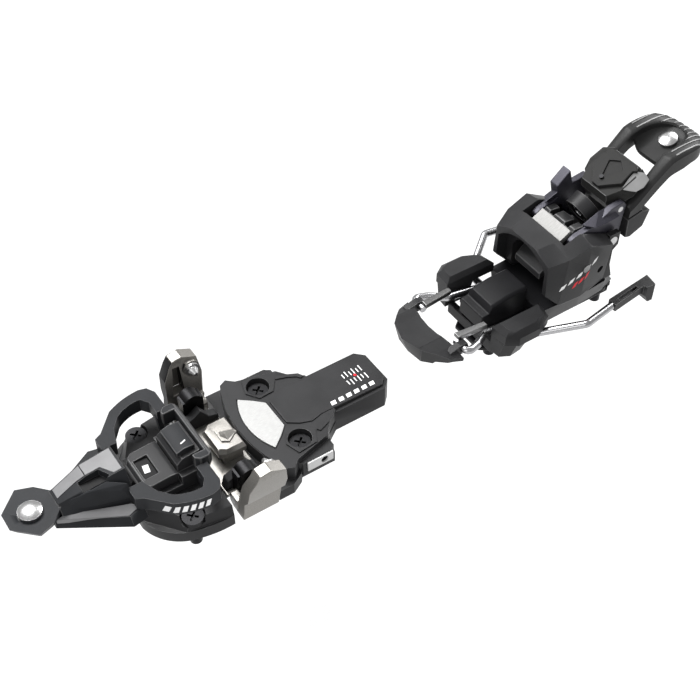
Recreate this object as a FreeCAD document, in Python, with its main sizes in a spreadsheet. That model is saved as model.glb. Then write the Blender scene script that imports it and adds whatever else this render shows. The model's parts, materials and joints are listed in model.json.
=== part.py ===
"""Alpine touring (pin) binding for one ski: a toe unit and a heel unit with ski brake.

Frame, in millimetres: the origin is on the ski, midway under the toe pins. +X runs back
along the ski from toe to heel, +Y to the left side, +Z up from the ski.
"""
import FreeCAD, Part
import math
import os

import Sketcher

V = FreeCAD.Vector
VIA = "via"          # marks a point that an arc passes through

# Driving dimensions, in millimetres and degrees.
SIZES = {
    # toe pins and their levers
    "pin_tip_half": 28.8,
    "pin_height": 27.1,
    "pin_radius": 2.3,
    "lever_front": -15.1,
    "lever_rear": 3.2,
    "lever_pivot_half": 27.0,
    "lever_pivot_height": 9.0,
    "lever_axle_radius": 2.0,
    # toe base
    "base_front": -51.2,
    "base_floor": 6.0,
    "front_deck": 11.5,
    "rear_deck": 13.5,
    "base_half": 32.5,
    "bay_front": -17.5,
    "bay_rear": 4.4,
    "bay_half": 18.8,
    "tongue_end": 76.8,
    "tongue_half": 13.0,
    "tongue_top": 12.0,
    "lug_front": 17.5,
    "lug_rear": 36.0,
    "lug_half": 28.6,
    # mounting screws
    "screw_radius": 2.75,
    "screw_neck_radius": 2.4,
    "screw_depth": 6.0,
    "screw_head_radius": 4.7,
    "rear_screw_place": 24.1,
    "rear_screw_half": 18.0,
    "front_screw_place": -33.4,
    "front_screw_half": 26.1,
    "heel_screw_front": 138.0,
    "heel_screw_rear": 206.0,
    "heel_screw_half": 8.0,
    # toe slide and tower
    "slide_top": 7.6,
    "tower_half": 13.0,
    "tower_front": -46.0,
    "tower_rear": -16.6,
    "frame_half": 17.0,
    "frame_top": 31.0,
    "tower_top": 15.2,
    "spring_height": 10.4,
    "spring_bore": 3.6,
    # front lever
    "lever_axle_place": -21.0,
    "lever_axle_height": 16.5,
    "front_axle_radius": 2.5,
    "axle_half": 20.8,
    "disc_place": -90.8,
    "disc_height": 27.0,
    "disc_radius": 5.0,
    # heel track and carriage
    "track_front": 130.0,
    "track_rear": 216.0,
    "track_half": 12.0,
    "track_height": 4.0,
    "carriage_top": 18.5,
    "screw_height": 7.4,
    "length_screw_radius": 2.2,
    # brake
    "wire_radius": 1.9,
    "brake_axis_place": 150.0,
    "brake_axis_height": 13.5,
    "pedal_axis_place": 112.6,
    "pedal_axis_height": 19.4,
    # heel housing, jaw and lever
    "slot_half": 15.0,
    "slot_front": 170.5,
    "jaw_half": 10.4,
    "jaw_axis_place": 180.0,
    "jaw_axis_height": 38.0,
    "jaw_axle_radius": 2.0,
    "heel_axis_place": 200.0,
    "heel_axis_height": 42.0,
    "heel_axle_radius": 2.5,
    "fork_inner": 11.0,
    "fork_outer": 14.4,
    "rail_inner": 11.4,
    "rail_outer": 16.6,
    "spoon_front": 66.2,
    "spoon_slope": 19.0,
    "rivet_place": 245.6,
    "riser_axis_place": 205.0,
    "riser_axis_height": 56.5,
    "riser_axle_radius": 1.5,
    "fit_gap": 0.05,
}

doc = FreeCAD.newDocument("Binding")
sheet = doc.addObject("Spreadsheet::Sheet", "Sizes")


class Size(float):
    """A number that remembers the sheet expression it comes from."""

    def __new__(cls, value, text=None):
        size = float.__new__(cls, value)
        size.text = text or repr(float(value))
        return size

    def _join(self, sign, other, value, swap=False):
        mine, theirs = self.text, getattr(other, "text", repr(float(other)))
        first, second = (theirs, mine) if swap else (mine, theirs)
        return Size(value, "(%s %s %s)" % (first, sign, second))

    def __add__(self, other):
        return self._join("+", other, float(self) + float(other))

    def __radd__(self, other):
        return self._join("+", other, float(other) + float(self), True)

    def __sub__(self, other):
        return self._join("-", other, float(self) - float(other))

    def __rsub__(self, other):
        return self._join("-", other, float(other) - float(self), True)

    def __mul__(self, other):
        return self._join("*", other, float(self) * float(other))

    def __rmul__(self, other):
        return self._join("*", other, float(other) * float(self), True)

    def __truediv__(self, other):
        return self._join("/", other, float(self) / float(other))

    def __neg__(self):
        return Size(-float(self), "(-1 * %s)" % self.text)


class Sizes:
    """The driving dimensions by name, each tied to its cell of the sheet."""


d = Sizes()
for row, (name, value) in enumerate(SIZES.items(), start=1):
    sheet.set("A%d" % row, name)
    sheet.set("B%d" % row, str(value))
    sheet.setAlias("B%d" % row, name)
    setattr(d, name, Size(value, "Sizes." + name))
doc.recompute()


# ---------------------------------------------------------------- modelling helpers

nodes = []


def bind(thing, path, value):
    """Set a number of a document object, through the sheet where it comes from there."""
    if isinstance(value, Size):
        thing.setExpression(path, value.text)


def new_body(name):
    """A PartDesign body that becomes the node called name."""
    body = doc.addObject("PartDesign::Body", name)
    body.Label = name
    nodes.append(body)
    return body


def sketch_on(body, plane, level):
    """An empty sketch on a body's own origin plane, moved to a signed level along X, Y or Z."""
    role = {"X": "YZ_Plane", "Y": "XZ_Plane", "Z": "XY_Plane"}[plane]
    sketch = body.newObject("Sketcher::SketchObject", "Sketch")
    sketch.AttachmentSupport = [(next(o for o in body.Origin.OriginFeatures if o.Role == role), "")]
    sketch.MapMode = "FlatFace"
    offset = -level if plane == "Y" else level      # the XZ plane faces -Y
    sketch.AttachmentOffset = FreeCAD.Placement(V(0, 0, float(offset)), FreeCAD.Rotation())
    bind(sketch, "AttachmentOffset.Base.z", offset)
    return sketch


def outline(body, plane, level, points):
    """A closed outline: corners as (u, v), and (u, v, VIA) where an arc passes between two corners."""
    sketch = sketch_on(body, plane, level)
    corners = [i for i, p in enumerate(points) if len(p) == 2]
    edges = []
    for i, at in enumerate(corners):
        here, after = points[at], points[corners[(i + 1) % len(corners)]]
        between = points[(at + 1) % len(points)]
        if len(between) == 3:
            edges.append(Part.Arc(V(*here), V(*between[:2]), V(*after)))
        else:
            edges.append(Part.LineSegment(V(*here), V(*after)))
    sketch.addGeometry(edges, False)
    rules, bound = [], []
    ends = []
    for i, at in enumerate(corners):
        start = sketch.getPoint(i, 1)
        turned = start.distanceToPoint(V(*points[at])) > 1e-6
        ends.append((2, 1) if turned else (1, 2))
    for i, at in enumerate(corners):
        after = (i + 1) % len(corners)
        rules.append(Sketcher.Constraint("Coincident", i, ends[i][1], after, ends[after][0]))
    for i, at in enumerate(corners):
        for kind, value in zip(("DistanceX", "DistanceY"), points[at]):
            bound.append((len(rules), value))
            rules.append(Sketcher.Constraint(kind, -1, 1, i, ends[i][0], float(value)))
    sketch.addConstraint(rules)
    for index, value in bound:
        bind(sketch, "Constraints[%d]" % index, value)
    return sketch


def ring_of(body, plane, level, centre, radius):
    """A circle outline."""
    sketch = sketch_on(body, plane, level)
    sketch.addGeometry(Part.Circle(V(float(centre[0]), float(centre[1]), 0), V(0, 0, 1), float(radius)))
    rules = [Sketcher.Constraint("Radius", 0, float(radius))]
    for kind, value in zip(("DistanceX", "DistanceY"), centre):
        rules.append(Sketcher.Constraint(kind, -1, 1, 0, 3, float(value)))
    sketch.addConstraint(rules)
    for index, value in enumerate((radius,) + tuple(centre)):
        bind(sketch, "Constraints[%d]" % index, value)
    return sketch


def feature(body, kind, sketch, length):
    """A pad or pocket of that length from a sketch."""
    made = body.newObject("PartDesign::" + kind, kind)
    made.Profile = sketch
    made.Length = float(length)
    bind(made, "Length", length)
    return made


def draw(body, plane, level, shape):
    """The outline of a list of points, or of a circle given as (centre, radius)."""
    if isinstance(shape, tuple):
        return ring_of(body, plane, level, *shape)
    return outline(body, plane, level, shape)


def pad(body, plane, low, high, shape):
    """Material between two levels. The XZ plane faces -Y, so there it starts from the high level."""
    return feature(body, "Pad", draw(body, plane, high if plane == "Y" else low, shape), high - low)


def cut(body, plane, low, high, shape):
    """A pocket between two levels. It cuts against the plane's normal."""
    return feature(body, "Pocket", draw(body, plane, low if plane == "Y" else high, shape), high - low)


def loft(body, plane, sections):
    """A faceted body through outlines at several levels, as (level, points)."""
    sketches = [outline(body, plane, level, points) for level, points in sections]
    made = body.newObject("PartDesign::AdditiveLoft", "Loft")
    made.Profile = sketches[0]
    made.Sections = sketches[1:]
    made.Ruled = True
    return made


def soften(body, kind, size, pick):
    """A fillet or chamfer on those edges of the body that pick chooses."""
    doc.recompute()
    base = body.Tip
    chosen = ["Edge%d" % (i + 1) for i, edge in enumerate(base.Shape.Edges) if pick(edge)]
    if not chosen:
        raise RuntimeError("no edge chosen on " + body.Name)
    made = body.newObject("PartDesign::" + kind, kind)
    made.Base = (base, chosen)
    setattr(made, "Radius" if kind == "Fillet" else "Size", float(size))
    return made


def upright(edge, axis=V(0, 0, 1)):
    """Whether an edge is straight and runs along an axis."""
    if not isinstance(edge.Curve, Part.Line):
        return False
    return abs(edge.Curve.Direction.dot(axis)) > 0.999


def across(half):
    """A closed outline from its +Y half, given in order of X, mirrored over the X axis."""
    return half + [tuple([p[0], -p[1]] + list(p[2:])) for p in reversed(half)]


def block(low_x, high_x, half):
    """A rectangle across the X axis."""
    return [(low_x, -half), (high_x, -half), (high_x, half), (low_x, half)]


def rect(u1, u2, v1, v2):
    """A rectangle by its sides."""
    return [(u1, v1), (u2, v1), (u2, v2), (u1, v2)]


def sided(side, points, upright_plane=False):
    """Points of the left side (+Y), mirrored when side is -1."""
    if upright_plane:
        return [tuple([side * p[0]] + list(p[1:])) for p in points]
    return [tuple([p[0], side * p[1]] + list(p[2:])) for p in points]


def levels(side, near, far):
    """The low and high Y level of a slab that lies between two distances from the middle."""
    return (near, far) if side > 0 else (-far, -near)


def solid_group(name, shapes):
    """A node of several loose identical solids, made with Part's own functions."""
    made = doc.addObject("Part::Feature", name)
    made.Label = name
    made.Shape = Part.makeCompound(shapes)
    nodes.append(made)
    return made


def cylinder(name, radius, length, base, axis):
    """A Part cylinder from a base point along an axis."""
    made = doc.addObject("Part::Cylinder", name)
    made.Label = name
    made.Radius, made.Height = float(radius), float(length)
    bind(made, "Radius", radius)
    bind(made, "Height", length)
    made.Placement = FreeCAD.Placement(V(*[float(b) for b in base]), FreeCAD.Rotation(V(0, 0, 1), axis))
    for key, value in zip("xyz", base):
        bind(made, "Placement.Base." + key, value)
    nodes.append(made)
    return made


def bent_rod(points, radius, bend):
    """A round rod along straight runs joined by tangent arcs of one bend radius."""
    corners = [V(*[float(c) for c in p]) for p in points]
    edges, start = [], corners[0]
    for before, at, after in zip(corners, corners[1:], corners[2:]):
        back, ahead = (before - at).normalize(), (after - at).normalize()
        half = back.getAngle(ahead) / 2.0
        reach = bend / math.tan(half)
        first, last = at + back * reach, at + ahead * reach
        bisector = (back + ahead).normalize()
        middle = at + bisector * (bend / math.sin(half) - bend)
        edges.append(Part.LineSegment(start, first).toShape())
        edges.append(Part.Arc(first, middle, last).toShape())
        start = last
    edges.append(Part.LineSegment(start, corners[-1]).toShape())
    path = Part.Wire(edges)
    ring = Part.Wire(Part.Circle(corners[0], corners[1] - corners[0], float(radius)).toShape())
    return path.makePipeShell([ring], True, False)


# ---------------------------------------------------------------- toe unit


def toe_base():
    """Moulded base: round front skirt, bay for the slide, raised rear deck and long tongue."""
    body = new_body("toe_base")
    skirt = [(d.base_front, 13), (-46.5, 23, VIA), (-38.3, 29.3), (-28, 32, VIA), (d.bay_front, d.base_half)]
    bay = [(d.bay_front, d.bay_half), (d.bay_rear, d.bay_half), (d.bay_rear, d.base_half)]
    waist = [(12, d.base_half), (d.lug_front, 29.4), (19, 27.4), (d.lug_rear, 27.4), (39, 18)]
    tongue = [(46, d.tongue_half), (d.tongue_end - 4, d.tongue_half), (d.tongue_end, 9)]
    pad(body, "Z", 0, d.base_floor, across(skirt + bay + waist + tongue))
    loft(body, "Z", [(d.base_floor, across([(d.base_front, 13), (-38.3, 29.3), (d.bay_front, d.base_half)])),
                     (d.front_deck, across([(-45.5, 12.5), (-35.8, 28.4), (d.bay_front, 31.2)]))])
    tower_hole = block(d.tower_front - 0.1, d.bay_front + 1, d.tower_half + 0.1)
    cut(body, "Z", d.base_floor, d.front_deck + 1, tower_hole)
    # notch that lets a driver reach the release screw
    cut(body, "Z", d.base_floor + 0.6, d.front_deck + 1, block(d.base_front - 1, d.tower_front, 3.4))
    deck = [(10.4, 28.5), (14, 30.2), (d.lug_front, 27.0), (36, 22.4), (40, 17.0), (46, 12.6)]
    pad(body, "Z", d.base_floor, d.rear_deck, across(deck) + [(4.0, 0, VIA)])
    pad(body, "Z", d.base_floor, d.tongue_top, across([(40, d.tongue_half)] + tongue[1:]))
    for side in (1, -1):
        lug = [(d.lug_front - 1, 25), (d.lug_front + 1.5, d.lug_half), (d.lug_rear - 3, d.lug_half),
               (d.lug_rear, 26.6), (d.lug_rear, 22)]
        pad(body, "Z", 3.0, 10.5, sided(side, lug))
    # recessed scale panel on the tongue
    cut(body, "Z", d.tongue_top - 0.8, d.rear_deck + 1, across([(48, 9.4), (72, 9.4), (74, 7)]))
    # shallow seat of the badge behind the front edge
    badge_seat = [(12.4, 17.2), (18.6, 12.3), (22.8, 8.0)]
    cut(body, "Z", d.rear_deck - 0.6, d.rear_deck + 1, across(badge_seat) + [(7.9, 0, VIA)])
    for place, half, top, seat in ((d.rear_screw_place, d.rear_screw_half, d.rear_deck, 9.0),
                                   (d.front_screw_place, d.front_screw_half, d.front_deck, 8.0)):
        for side in (1, -1):
            cut(body, "Z", seat, top + 1, ((place, half * side), d.screw_head_radius + 0.7))
            cut(body, "Z", -1, seat + 1, ((place, half * side), d.screw_radius + 0.15))
    # crampon sockets in both lugs
    for side in (1, -1):
        low, high = levels(side, 25, d.lug_half + 1)
        cut(body, "Y", low, high, ((29.5, 7.6), 1.8))
    return body


def toe_trim():
    """Badge plate, scale marks and the light plates on the crampon lugs."""
    badge = new_body("toe_badge")
    face = [(12.7, 16.4), (18.3, 11.9), (22.4, 7.8)]
    pad(badge, "Z", d.rear_deck - 0.6, d.rear_deck + 0.5, across(face) + [(8.3, 0, VIA)])
    shapes = []
    for side in (1, -1):
        start = d.lug_half + 0.02 if side > 0 else -d.lug_half - 0.82
        plate = Part.makeBox(13.0, 0.8, 5.2, V(21.0, start, 5.0))
        bore = Part.makeCylinder(1.8, 4, V(29.5, side * (d.lug_half - 1), 7.6), V(0, side, 0))
        shapes.append(plate.cut(bore))
    solid_group("crampon_plates", shapes)


def screw(place, half, seat, head_height):
    """One mounting screw: flat head with a cross recess, a neck, and the thread down in the ski."""
    head = Part.makeCylinder(d.screw_head_radius, head_height, V(place, half, seat))
    neck = Part.makeCylinder(d.screw_neck_radius, seat, V(place, half, 0))
    thread = Part.makeCylinder(d.screw_radius, d.screw_depth, V(place, half, -d.screw_depth))
    made = head.fuse(neck).fuse(thread)
    for turn in (45, 135):
        slot = Part.makeBox(5.2, 1.1, 2.0, V(-2.6, -0.55, 0))
        slot.rotate(V(0, 0, 0), V(0, 0, 1), turn)
        slot.translate(V(place, half, seat + head_height - 1.4))
        made = made.cut(slot)
    return made


def mounting_screws():
    """The four toe screws as two pairs, and the four heel screws."""
    rear = [screw(d.rear_screw_place, s * d.rear_screw_half, 9.0, 2.6) for s in (1, -1)]
    solid_group("toe_rear_screws", rear)
    front = [screw(d.front_screw_place, s * d.front_screw_half, 8.0, 2.4) for s in (1, -1)]
    solid_group("toe_front_screws", front)
    heel = [screw(x, s * d.heel_screw_half, 2.0, 1.7)
            for x in (d.heel_screw_front, d.heel_screw_rear) for s in (1, -1)]
    solid_group("heel_screws", heel)


def toe_slide():
    """Steel sheet carriage that slides sideways, with the cast block in its middle."""
    plate = new_body("toe_slide_plate")
    pad(plate, "Z", d.base_floor + 0.3, d.slide_top, block(d.lever_front - 0.3, d.lever_rear, 23.0))
    center = new_body("toe_center_block")
    pad(center, "Z", d.slide_top, 12.6, block(-8.0, 1.4, 7.6))
    low = across([(-10.2, 7.4), (-7, 9.4), (2.4, 9.4)])
    high = across([(-9.6, 5.6), (-6.5, 8.2), (1.4, 8.2)])
    loft(center, "Z", [(12.6, low), (15.0, low), (17.2, high)])
    pad(center, "Z", 17.2, 18.0, across([(-6.4, 3.4), (-3.4, 5.4), (0.6, 2.6)]))
    # fin-shaped cheeks on both sides of the middle
    profile = [(d.lever_front + 0.2, d.slide_top), (2.9, d.slide_top), (2.9, 10.5), (-2, 12.2), (-5.5, 17.5),
               (-9, 15.0), (-13.5, 13.0)]
    face = Part.Face(Part.makePolygon([V(x, 0, z) for x, z in profile + profile[:1]]))
    cheeks = []
    for side in (1, -1):
        cheek = face.extrude(V(0, 4.5 * side, 0))
        cheek.translate(V(0, 16.5 * side, 0))
        cheeks.append(cheek)
    solid_group("toe_cheeks", cheeks)


def hinge_hub(side, name):
    """Hub at one end of the slide that holds a pin lever's axle."""
    body = new_body(name)
    section = [(21.3, d.slide_top), (25.2, d.slide_top), (25.2, 6.6), (29.3, 6.6), (29.3, 9.5), (26.8, 12.4),
               (26.8, 21.0), (21.3, 21.0)]
    pad(body, "X", -11.5, -1.5, sided(side, section, True))
    pivot = (side * d.lever_pivot_half, d.lever_pivot_height)
    cut(body, "X", -12, -1, (pivot, d.lever_axle_radius + d.fit_gap))
    low, high = levels(side, 21.2, 27.6)
    pad(body, "Y", low, high, ((-6.5, 18.6), 4.6))
    low, high = levels(side, 26.8, 29)
    cut(body, "Y", low, high, ((-6.5, 18.6), 2.4))
    return body


def pin_lever(side, name):
    """Forged lever that carries a toe pin; hollow on the inside, faceted on the outside."""
    body = new_body(name)
    front, rear = d.lever_front, d.lever_rear
    # silhouette seen from the side
    lower = [(front, 4.6), (rear - 1.2, 4.6), (rear + 1.8, 22.0), (rear + 0.6, 31.0), (-3.0, 34.4),
             (-8.2, 33.6), (-13.2, 25.0)]
    low, high = levels(side, 29.6, 41.0)
    pad(body, "Y", low, high, lower)
    # lean: take away the outside wedge and the inside wedge
    cut(body, "X", front - 3, rear + 3, sided(side, [(36.2, 0), (50, 0), (50, 40), (40.9, 40), (40.9, 30),
                                                     (38.6, 17.5), (36.2, 14)], True))
    cut(body, "X", front - 3, rear + 3, sided(side, [(20, 12.6), (31.2, 12.6), (35.2, 30.6), (35.2, 40),
                                                     (20, 40)], True))
    # pivot ears round the hub
    cut(body, "X", -11.8, -1.2, sided(side, [(20, 0), (31.2, 0), (31.2, 14), (20, 14)], True))
    for low_x, high_x in ((front, -11.8), (-1.2, rear - 1.2)):
        ear = [(24.4, 6.4), (27, 4.9), (30, 4.9), (31.4, 8), (31.4, 12.6), (26, 12.6), (24.4, 11.4)]
        pad(body, "X", low_x, high_x, sided(side, ear, True))
    cut(body, "X", front - 3, rear + 3,
        ((side * d.lever_pivot_half, d.lever_pivot_height), d.lever_axle_radius))
    # boss under the pin collar
    low, high = levels(side, 33.6, 36)
    pad(body, "Y", low, high, ((0, d.pin_height), 3.9))
    # socket for the pin, and the hollow of the forging
    low, high = levels(side, 30, 38.6)
    cut(body, "Y", low, high, ((0, d.pin_height), d.pin_radius))
    low, high = levels(side, 30, 37.6)
    cut(body, "Y", low, high, [(-10.6, 16), (-5.2, 16), (-5.2, 29.5), (-8.2, 29.5)])
    return body


def toe_pin(side, name):
    """Hardened pin with a collar and a conical tip."""
    made = doc.addObject("Part::Feature", name)
    made.Label = name
    r, tip, root = float(d.pin_radius), float(d.pin_tip_half), 38.6
    profile = [V(0, tip, 0), V(0.9, tip, 0), V(r, tip + 2.6, 0), V(r, 32.2, 0), V(3.3, 32.2, 0),
               V(3.3, 33.6, 0), V(r, 33.6, 0), V(r, root, 0), V(0, root, 0), V(0, tip, 0)]
    turned = Part.Face(Part.makePolygon(profile)).revolve(V(0, 0, 0), V(0, 1, 0), 360)
    made.Shape = turned
    turn = FreeCAD.Rotation() if side > 0 else FreeCAD.Rotation(V(0, 0, 1), 180)
    made.Placement = FreeCAD.Placement(V(0, 0, float(d.pin_height)), turn)
    nodes.append(made)
    return made


def pin_levers():
    """Hub, axle, lever and pin of both sides."""
    for side, end in ((1, "left"), (-1, "right")):
        hinge_hub(side, "hinge_hub_" + end)
        pin_lever(side, "pin_lever_" + end)
        toe_pin(side, "toe_pin_" + end)
        cylinder("lever_axle_" + end, d.lever_axle_radius, d.lever_rear - 1.2 - d.lever_front,
                 (d.lever_front, side * d.lever_pivot_half, d.lever_pivot_height), V(1, 0, 0))


def toe_tower():
    """Fixed housing between the lever arms, with the release frame over it."""
    body = new_body("toe_tower")
    pad(body, "Z", d.base_floor, d.tower_top, block(d.tower_front, d.bay_front, d.tower_half))
    pad(body, "Z", d.tower_top, 19.8, block(-30.4, d.bay_front, d.tower_half))
    pad(body, "Y", -9.5, 9.5, [(-30.4, 19.8), (-19.2, 19.8), (-19.2, 27.2), (-27.6, 26.4), (-30.4, 24.0)])
    cut(body, "X", d.tower_front - 1, -26, ((0, d.spring_height), d.spring_bore))
    cut(body, "Y", -14, 14, ((d.lever_axle_place, d.lever_axle_height), d.front_axle_radius + d.fit_gap))
    frame = new_body("release_frame")
    pad(frame, "Z", 24.0, d.frame_top, block(-24.6, d.tower_rear, d.frame_half))
    cut(frame, "Z", 23, d.frame_top + 1, block(-30, -19.1, 13.0))
    pad(frame, "Z", 19.9, 24.0, block(-19.1, d.bay_front, 12.6))
    soften(frame, "Chamfer", 2.0, lambda e: upright(e) and e.BoundBox.ZMax > 30 and abs(e.BoundBox.YMin) > 15)
    soften(frame, "Chamfer", 1.2, lambda e: upright(e, V(0, 1, 0)) and e.BoundBox.ZMin > 30
           and e.BoundBox.XMin > -18)
    value = new_body("value_block")
    pad(value, "Y", -7.5, 7.5, [(-29.0, 26.3), (-20.4, 27.3), (-20.4, 29.4), (-25.4, 29.8), (-29.0, 28.6)])


def mode_block():
    """Mode housing with its recessed window and the tile that shows the mode."""
    body = new_body("mode_block")
    side_view = [(d.tower_front - 0.6, d.tower_top + 0.1), (-30.6, d.tower_top + 0.1), (-30.6, 20.2),
                 (-32.6, 20.8), (d.tower_front + 1.0, 20.0), (d.tower_front - 0.6, 18.4)]
    pad(body, "Y", -10.4, 10.4, side_view)
    soften(body, "Chamfer", 3.6, lambda e: upright(e) and e.BoundBox.XMax < -44)
    cut(body, "Z", 18.6, 22, block(-43.6, -37.4, 5.6))
    tile = new_body("mode_tile")
    pad(tile, "Z", 18.62, 19.2, block(-43.4, -37.6, 5.4))


def toe_spring_parts():
    """Release spring, its piston and the adjusting screw inside the tower."""
    made = doc.addObject("Part::Feature", "toe_release_spring")
    made.Label = "toe_release_spring"
    made.Shape = spring_shape(2.6, 0.7, 2.2, 4.0)
    turn = FreeCAD.Rotation(V(0, 0, 1), V(1, 0, 0))
    made.Placement = FreeCAD.Placement(V(-38.2, 0, d.spring_height), turn)
    nodes.append(made)
    cylinder("toe_spring_piston", d.spring_bore - d.fit_gap, 2.2, (-28.4, 0, d.spring_height), V(1, 0, 0))
    body = new_body("toe_adjust_screw")
    pad(body, "X", -45.9, -39.2, ((0, d.spring_height), d.spring_bore - d.fit_gap))
    cut(body, "X", -46.4, -44.5, rect(-2.6, 2.6, d.spring_height - 0.6, d.spring_height + 0.6))


def spring_shape(radius, wire, pitch, turns):
    """A coil spring standing on the XY plane along +Z."""
    helix = Part.makeHelix(pitch, pitch * turns, radius)
    ring = Part.Wire(Part.Circle(V(radius, 0, 0), V(0, 1, 0), wire).toShape())
    return Part.Wire(helix).makePipeShell([ring], True, True)


def hexagon_section(half_low, low, half_mid, mid, half_top, top):
    """A six-sided section across X: flat bottom, leaning sides and flat top."""
    right = [(half_low, low), (half_mid, mid), (half_top, top)]
    return right + [(-half, level) for half, level in reversed(right)]


def front_lever():
    """Long front lever: hexagonal head, raised spine, side wings and two loops down to the axle."""
    body = new_body("front_lever")
    loft(body, "X", [(-80.4, hexagon_section(5.4, 23.0, 7.4, 24.6, 4.0, 28.6)),
                     (-66.0, hexagon_section(9.0, 19.6, 11.0, 22.4, 6.4, 33.0)),
                     (-51.4, hexagon_section(12.4, 17.2, 15.0, 20.8, 6.8, 34.6))])
    # lower side wings
    loft(body, "Z", [(17.4, across([(-84.0, 6.0), (-57.4, 22.8), (-50.4, 21.6), (-50.4, 8.0)])),
                     (21.4, across([(-83.4, 5.2), (-57.4, 20.2), (-50.6, 18.8), (-50.6, 8.0)]))])
    # hexagonal head
    loft(body, "Z", [(23.0, across([(-98.6, 3.4), (-91.4, 10.4), (-85.4, 8.6), (-79.6, 4.4)])),
                     (27.6, across([(-101.2, 4.4), (-92.0, 13.2), (-85.0, 10.6), (-79.6, 4.8)]))])
    cut(body, "Z", d.disc_height - 0.6, 34, ((d.disc_place, 0), d.disc_radius + 0.15))
    # finger recess in the right half of the spine
    cut(body, "Z", 30.0, 40, [(-70, -6.6), (-60, -7.0), (-57.8, -6.0), (-60.5, -0.6), (-70, -0.8)])
    for side in (1, -1):
        loop = [(-53.6, 12.0), (-53.6, 18.6), (-50.3, 20.2), (-42.0, 29.2), (-35.6, 32.0, VIA), (-26.0, 33.6),
                (-22.5, 32.6), (-20.3, 28.6), (-20.3, 17.6), (-25.2, 17.6), (-25.4, 24.6), (-28.0, 28.2),
                (-34.0, 27.6, VIA), (-40.2, 24.6), (-44.4, 19.4), (-47.0, 12.0)]
        pad(body, "Z", 21.2, 28.4, sided(side, loop))
        # ear that takes the axle
        low, high = levels(side, 17.6, d.axle_half)
        pad(body, "Y", low, high,
            [(-25.6, 24.0), (-24.6, 14.4), (-21.0, 12.8), (-17.8, 14.4), (-20.4, 24.0)])
        cut(body, "Y", low - 0.5, high + 0.5,
            ((d.lever_axle_place, d.lever_axle_height), d.front_axle_radius))
    return body


def front_lever_trim():
    """Bright disc, grey inlays and the lever's axle."""
    disc = doc.addObject("Part::Feature", "lever_disc")
    disc.Label = "lever_disc"
    rim = Part.makeCylinder(d.disc_radius, 1.6)
    dome = Part.makeSphere(9.0, V(0, 0, -5.9)).common(Part.makeCylinder(d.disc_radius, 6, V(0, 0, 1.6)))
    disc.Shape = rim.fuse(dome)
    disc.Placement = FreeCAD.Placement(V(d.disc_place, 0, d.disc_height - 0.6), FreeCAD.Rotation())
    nodes.append(disc)
    cylinder("front_lever_axle", d.front_axle_radius, d.axle_half * 2,
             (d.lever_axle_place, -d.axle_half, d.lever_axle_height), V(0, 1, 0))


# ---------------------------------------------------------------- heel unit


def heel_track():
    """Track screwed to the ski, with a flange on each side for the carriage."""
    body = new_body("heel_track")
    pad(body, "Z", 0, 1.8, across([(d.track_front, 9), (d.track_front + 4, d.track_half),
                                   (d.track_rear - 6, d.track_half), (d.track_rear, 7)]))
    pad(body, "Z", 1.0, d.track_height, block(d.track_front + 3, d.track_rear - 3, 10.6))
    cut(body, "Z", 1.0, d.track_height + 1, block(146, 198, 3.2))
    for x in (d.heel_screw_front, d.heel_screw_rear):
        for side in (1, -1):
            cut(body, "Z", 2.0, 5, ((x, side * d.heel_screw_half), d.screw_head_radius + 0.3))
            cut(body, "Z", -1, 3, ((x, side * d.heel_screw_half), d.screw_radius + 0.15))
    return body


def heel_carriage():
    """Body that slides along the track and carries everything above it."""
    body = new_body("heel_carriage")
    low = across([(158, 15.4), (186, 15.0), (204, 13.4), (214, 10.0)])
    high = across([(158, 19.0), (182, 20.4), (198, 19.4), (203, 15.5)])
    loft(body, "Z", [(4.5, low), (d.carriage_top, high)])
    pad(body, "Z", 4.5, 12.0, block(134.6, 158, 8.6))
    pad(body, "Z", 4.5, 8.0, block(140, 158, 19.0))
    cut(body, "X", 128, 220, ((0, d.screw_height), d.length_screw_radius + d.fit_gap))
    return body


def length_screw():
    """Screw that moves the carriage along the track."""
    body = new_body("length_screw")
    pad(body, "X", 140, 214.4, ((0, d.screw_height), d.length_screw_radius))
    pad(body, "X", 214.4, 217.6, ((0, d.screw_height), 3.2))
    cut(body, "X", 216.2, 218, rect(-2.6, 2.6, 6.9, 7.9))
    return body


def heel_base_block():
    """Flat-topped box between the support pads, with a sloped front step."""
    body = new_body("heel_base_block")
    pad(body, "Y", -8.4, 8.4, [(131.0, 12.1), (157.9, 12.1), (157.9, 26.6), (146.5, 26.4), (136.9, 24.6),
                               (135.4, 20.9), (131.2, 20.5)])
    soften(body, "Chamfer", 1.2, lambda e: e.BoundBox.ZMin > 24 and e.BoundBox.YLength < 0.1)
    return body


def support_pad(side, name):
    """Chunky pad under the boot's heel, open below where the brake wire passes."""
    body = new_body(name)
    foot = [(129.5, 17.4), (130.2, 23.6), (135.0, 26.2), (141.5, 25.4), (143.5, 23.0), (143.5, 17.4)]
    low_mid = [(129.8, 17.4), (130.4, 25.6), (135.8, 29.0), (144.0, 28.2), (146.0, 25.0), (146.0, 17.4)]
    mid = [(129.8, 17.2), (130.4, 26.6), (136.0, 30.2), (147.5, 30.2), (156.4, 26.0), (158.4, 17.2)]
    top = [(132.6, 19.0), (133.4, 25.0), (137.4, 27.6), (146.8, 27.6), (153.6, 24.4), (155.4, 19.0)]
    loft(body, "Z", [(8.0, sided(side, foot)), (17.6, sided(side, low_mid))])
    loft(body, "Z", [(17.6, sided(side, mid)), (22.6, sided(side, mid)), (25.2, sided(side, top))])
    return body


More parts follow.
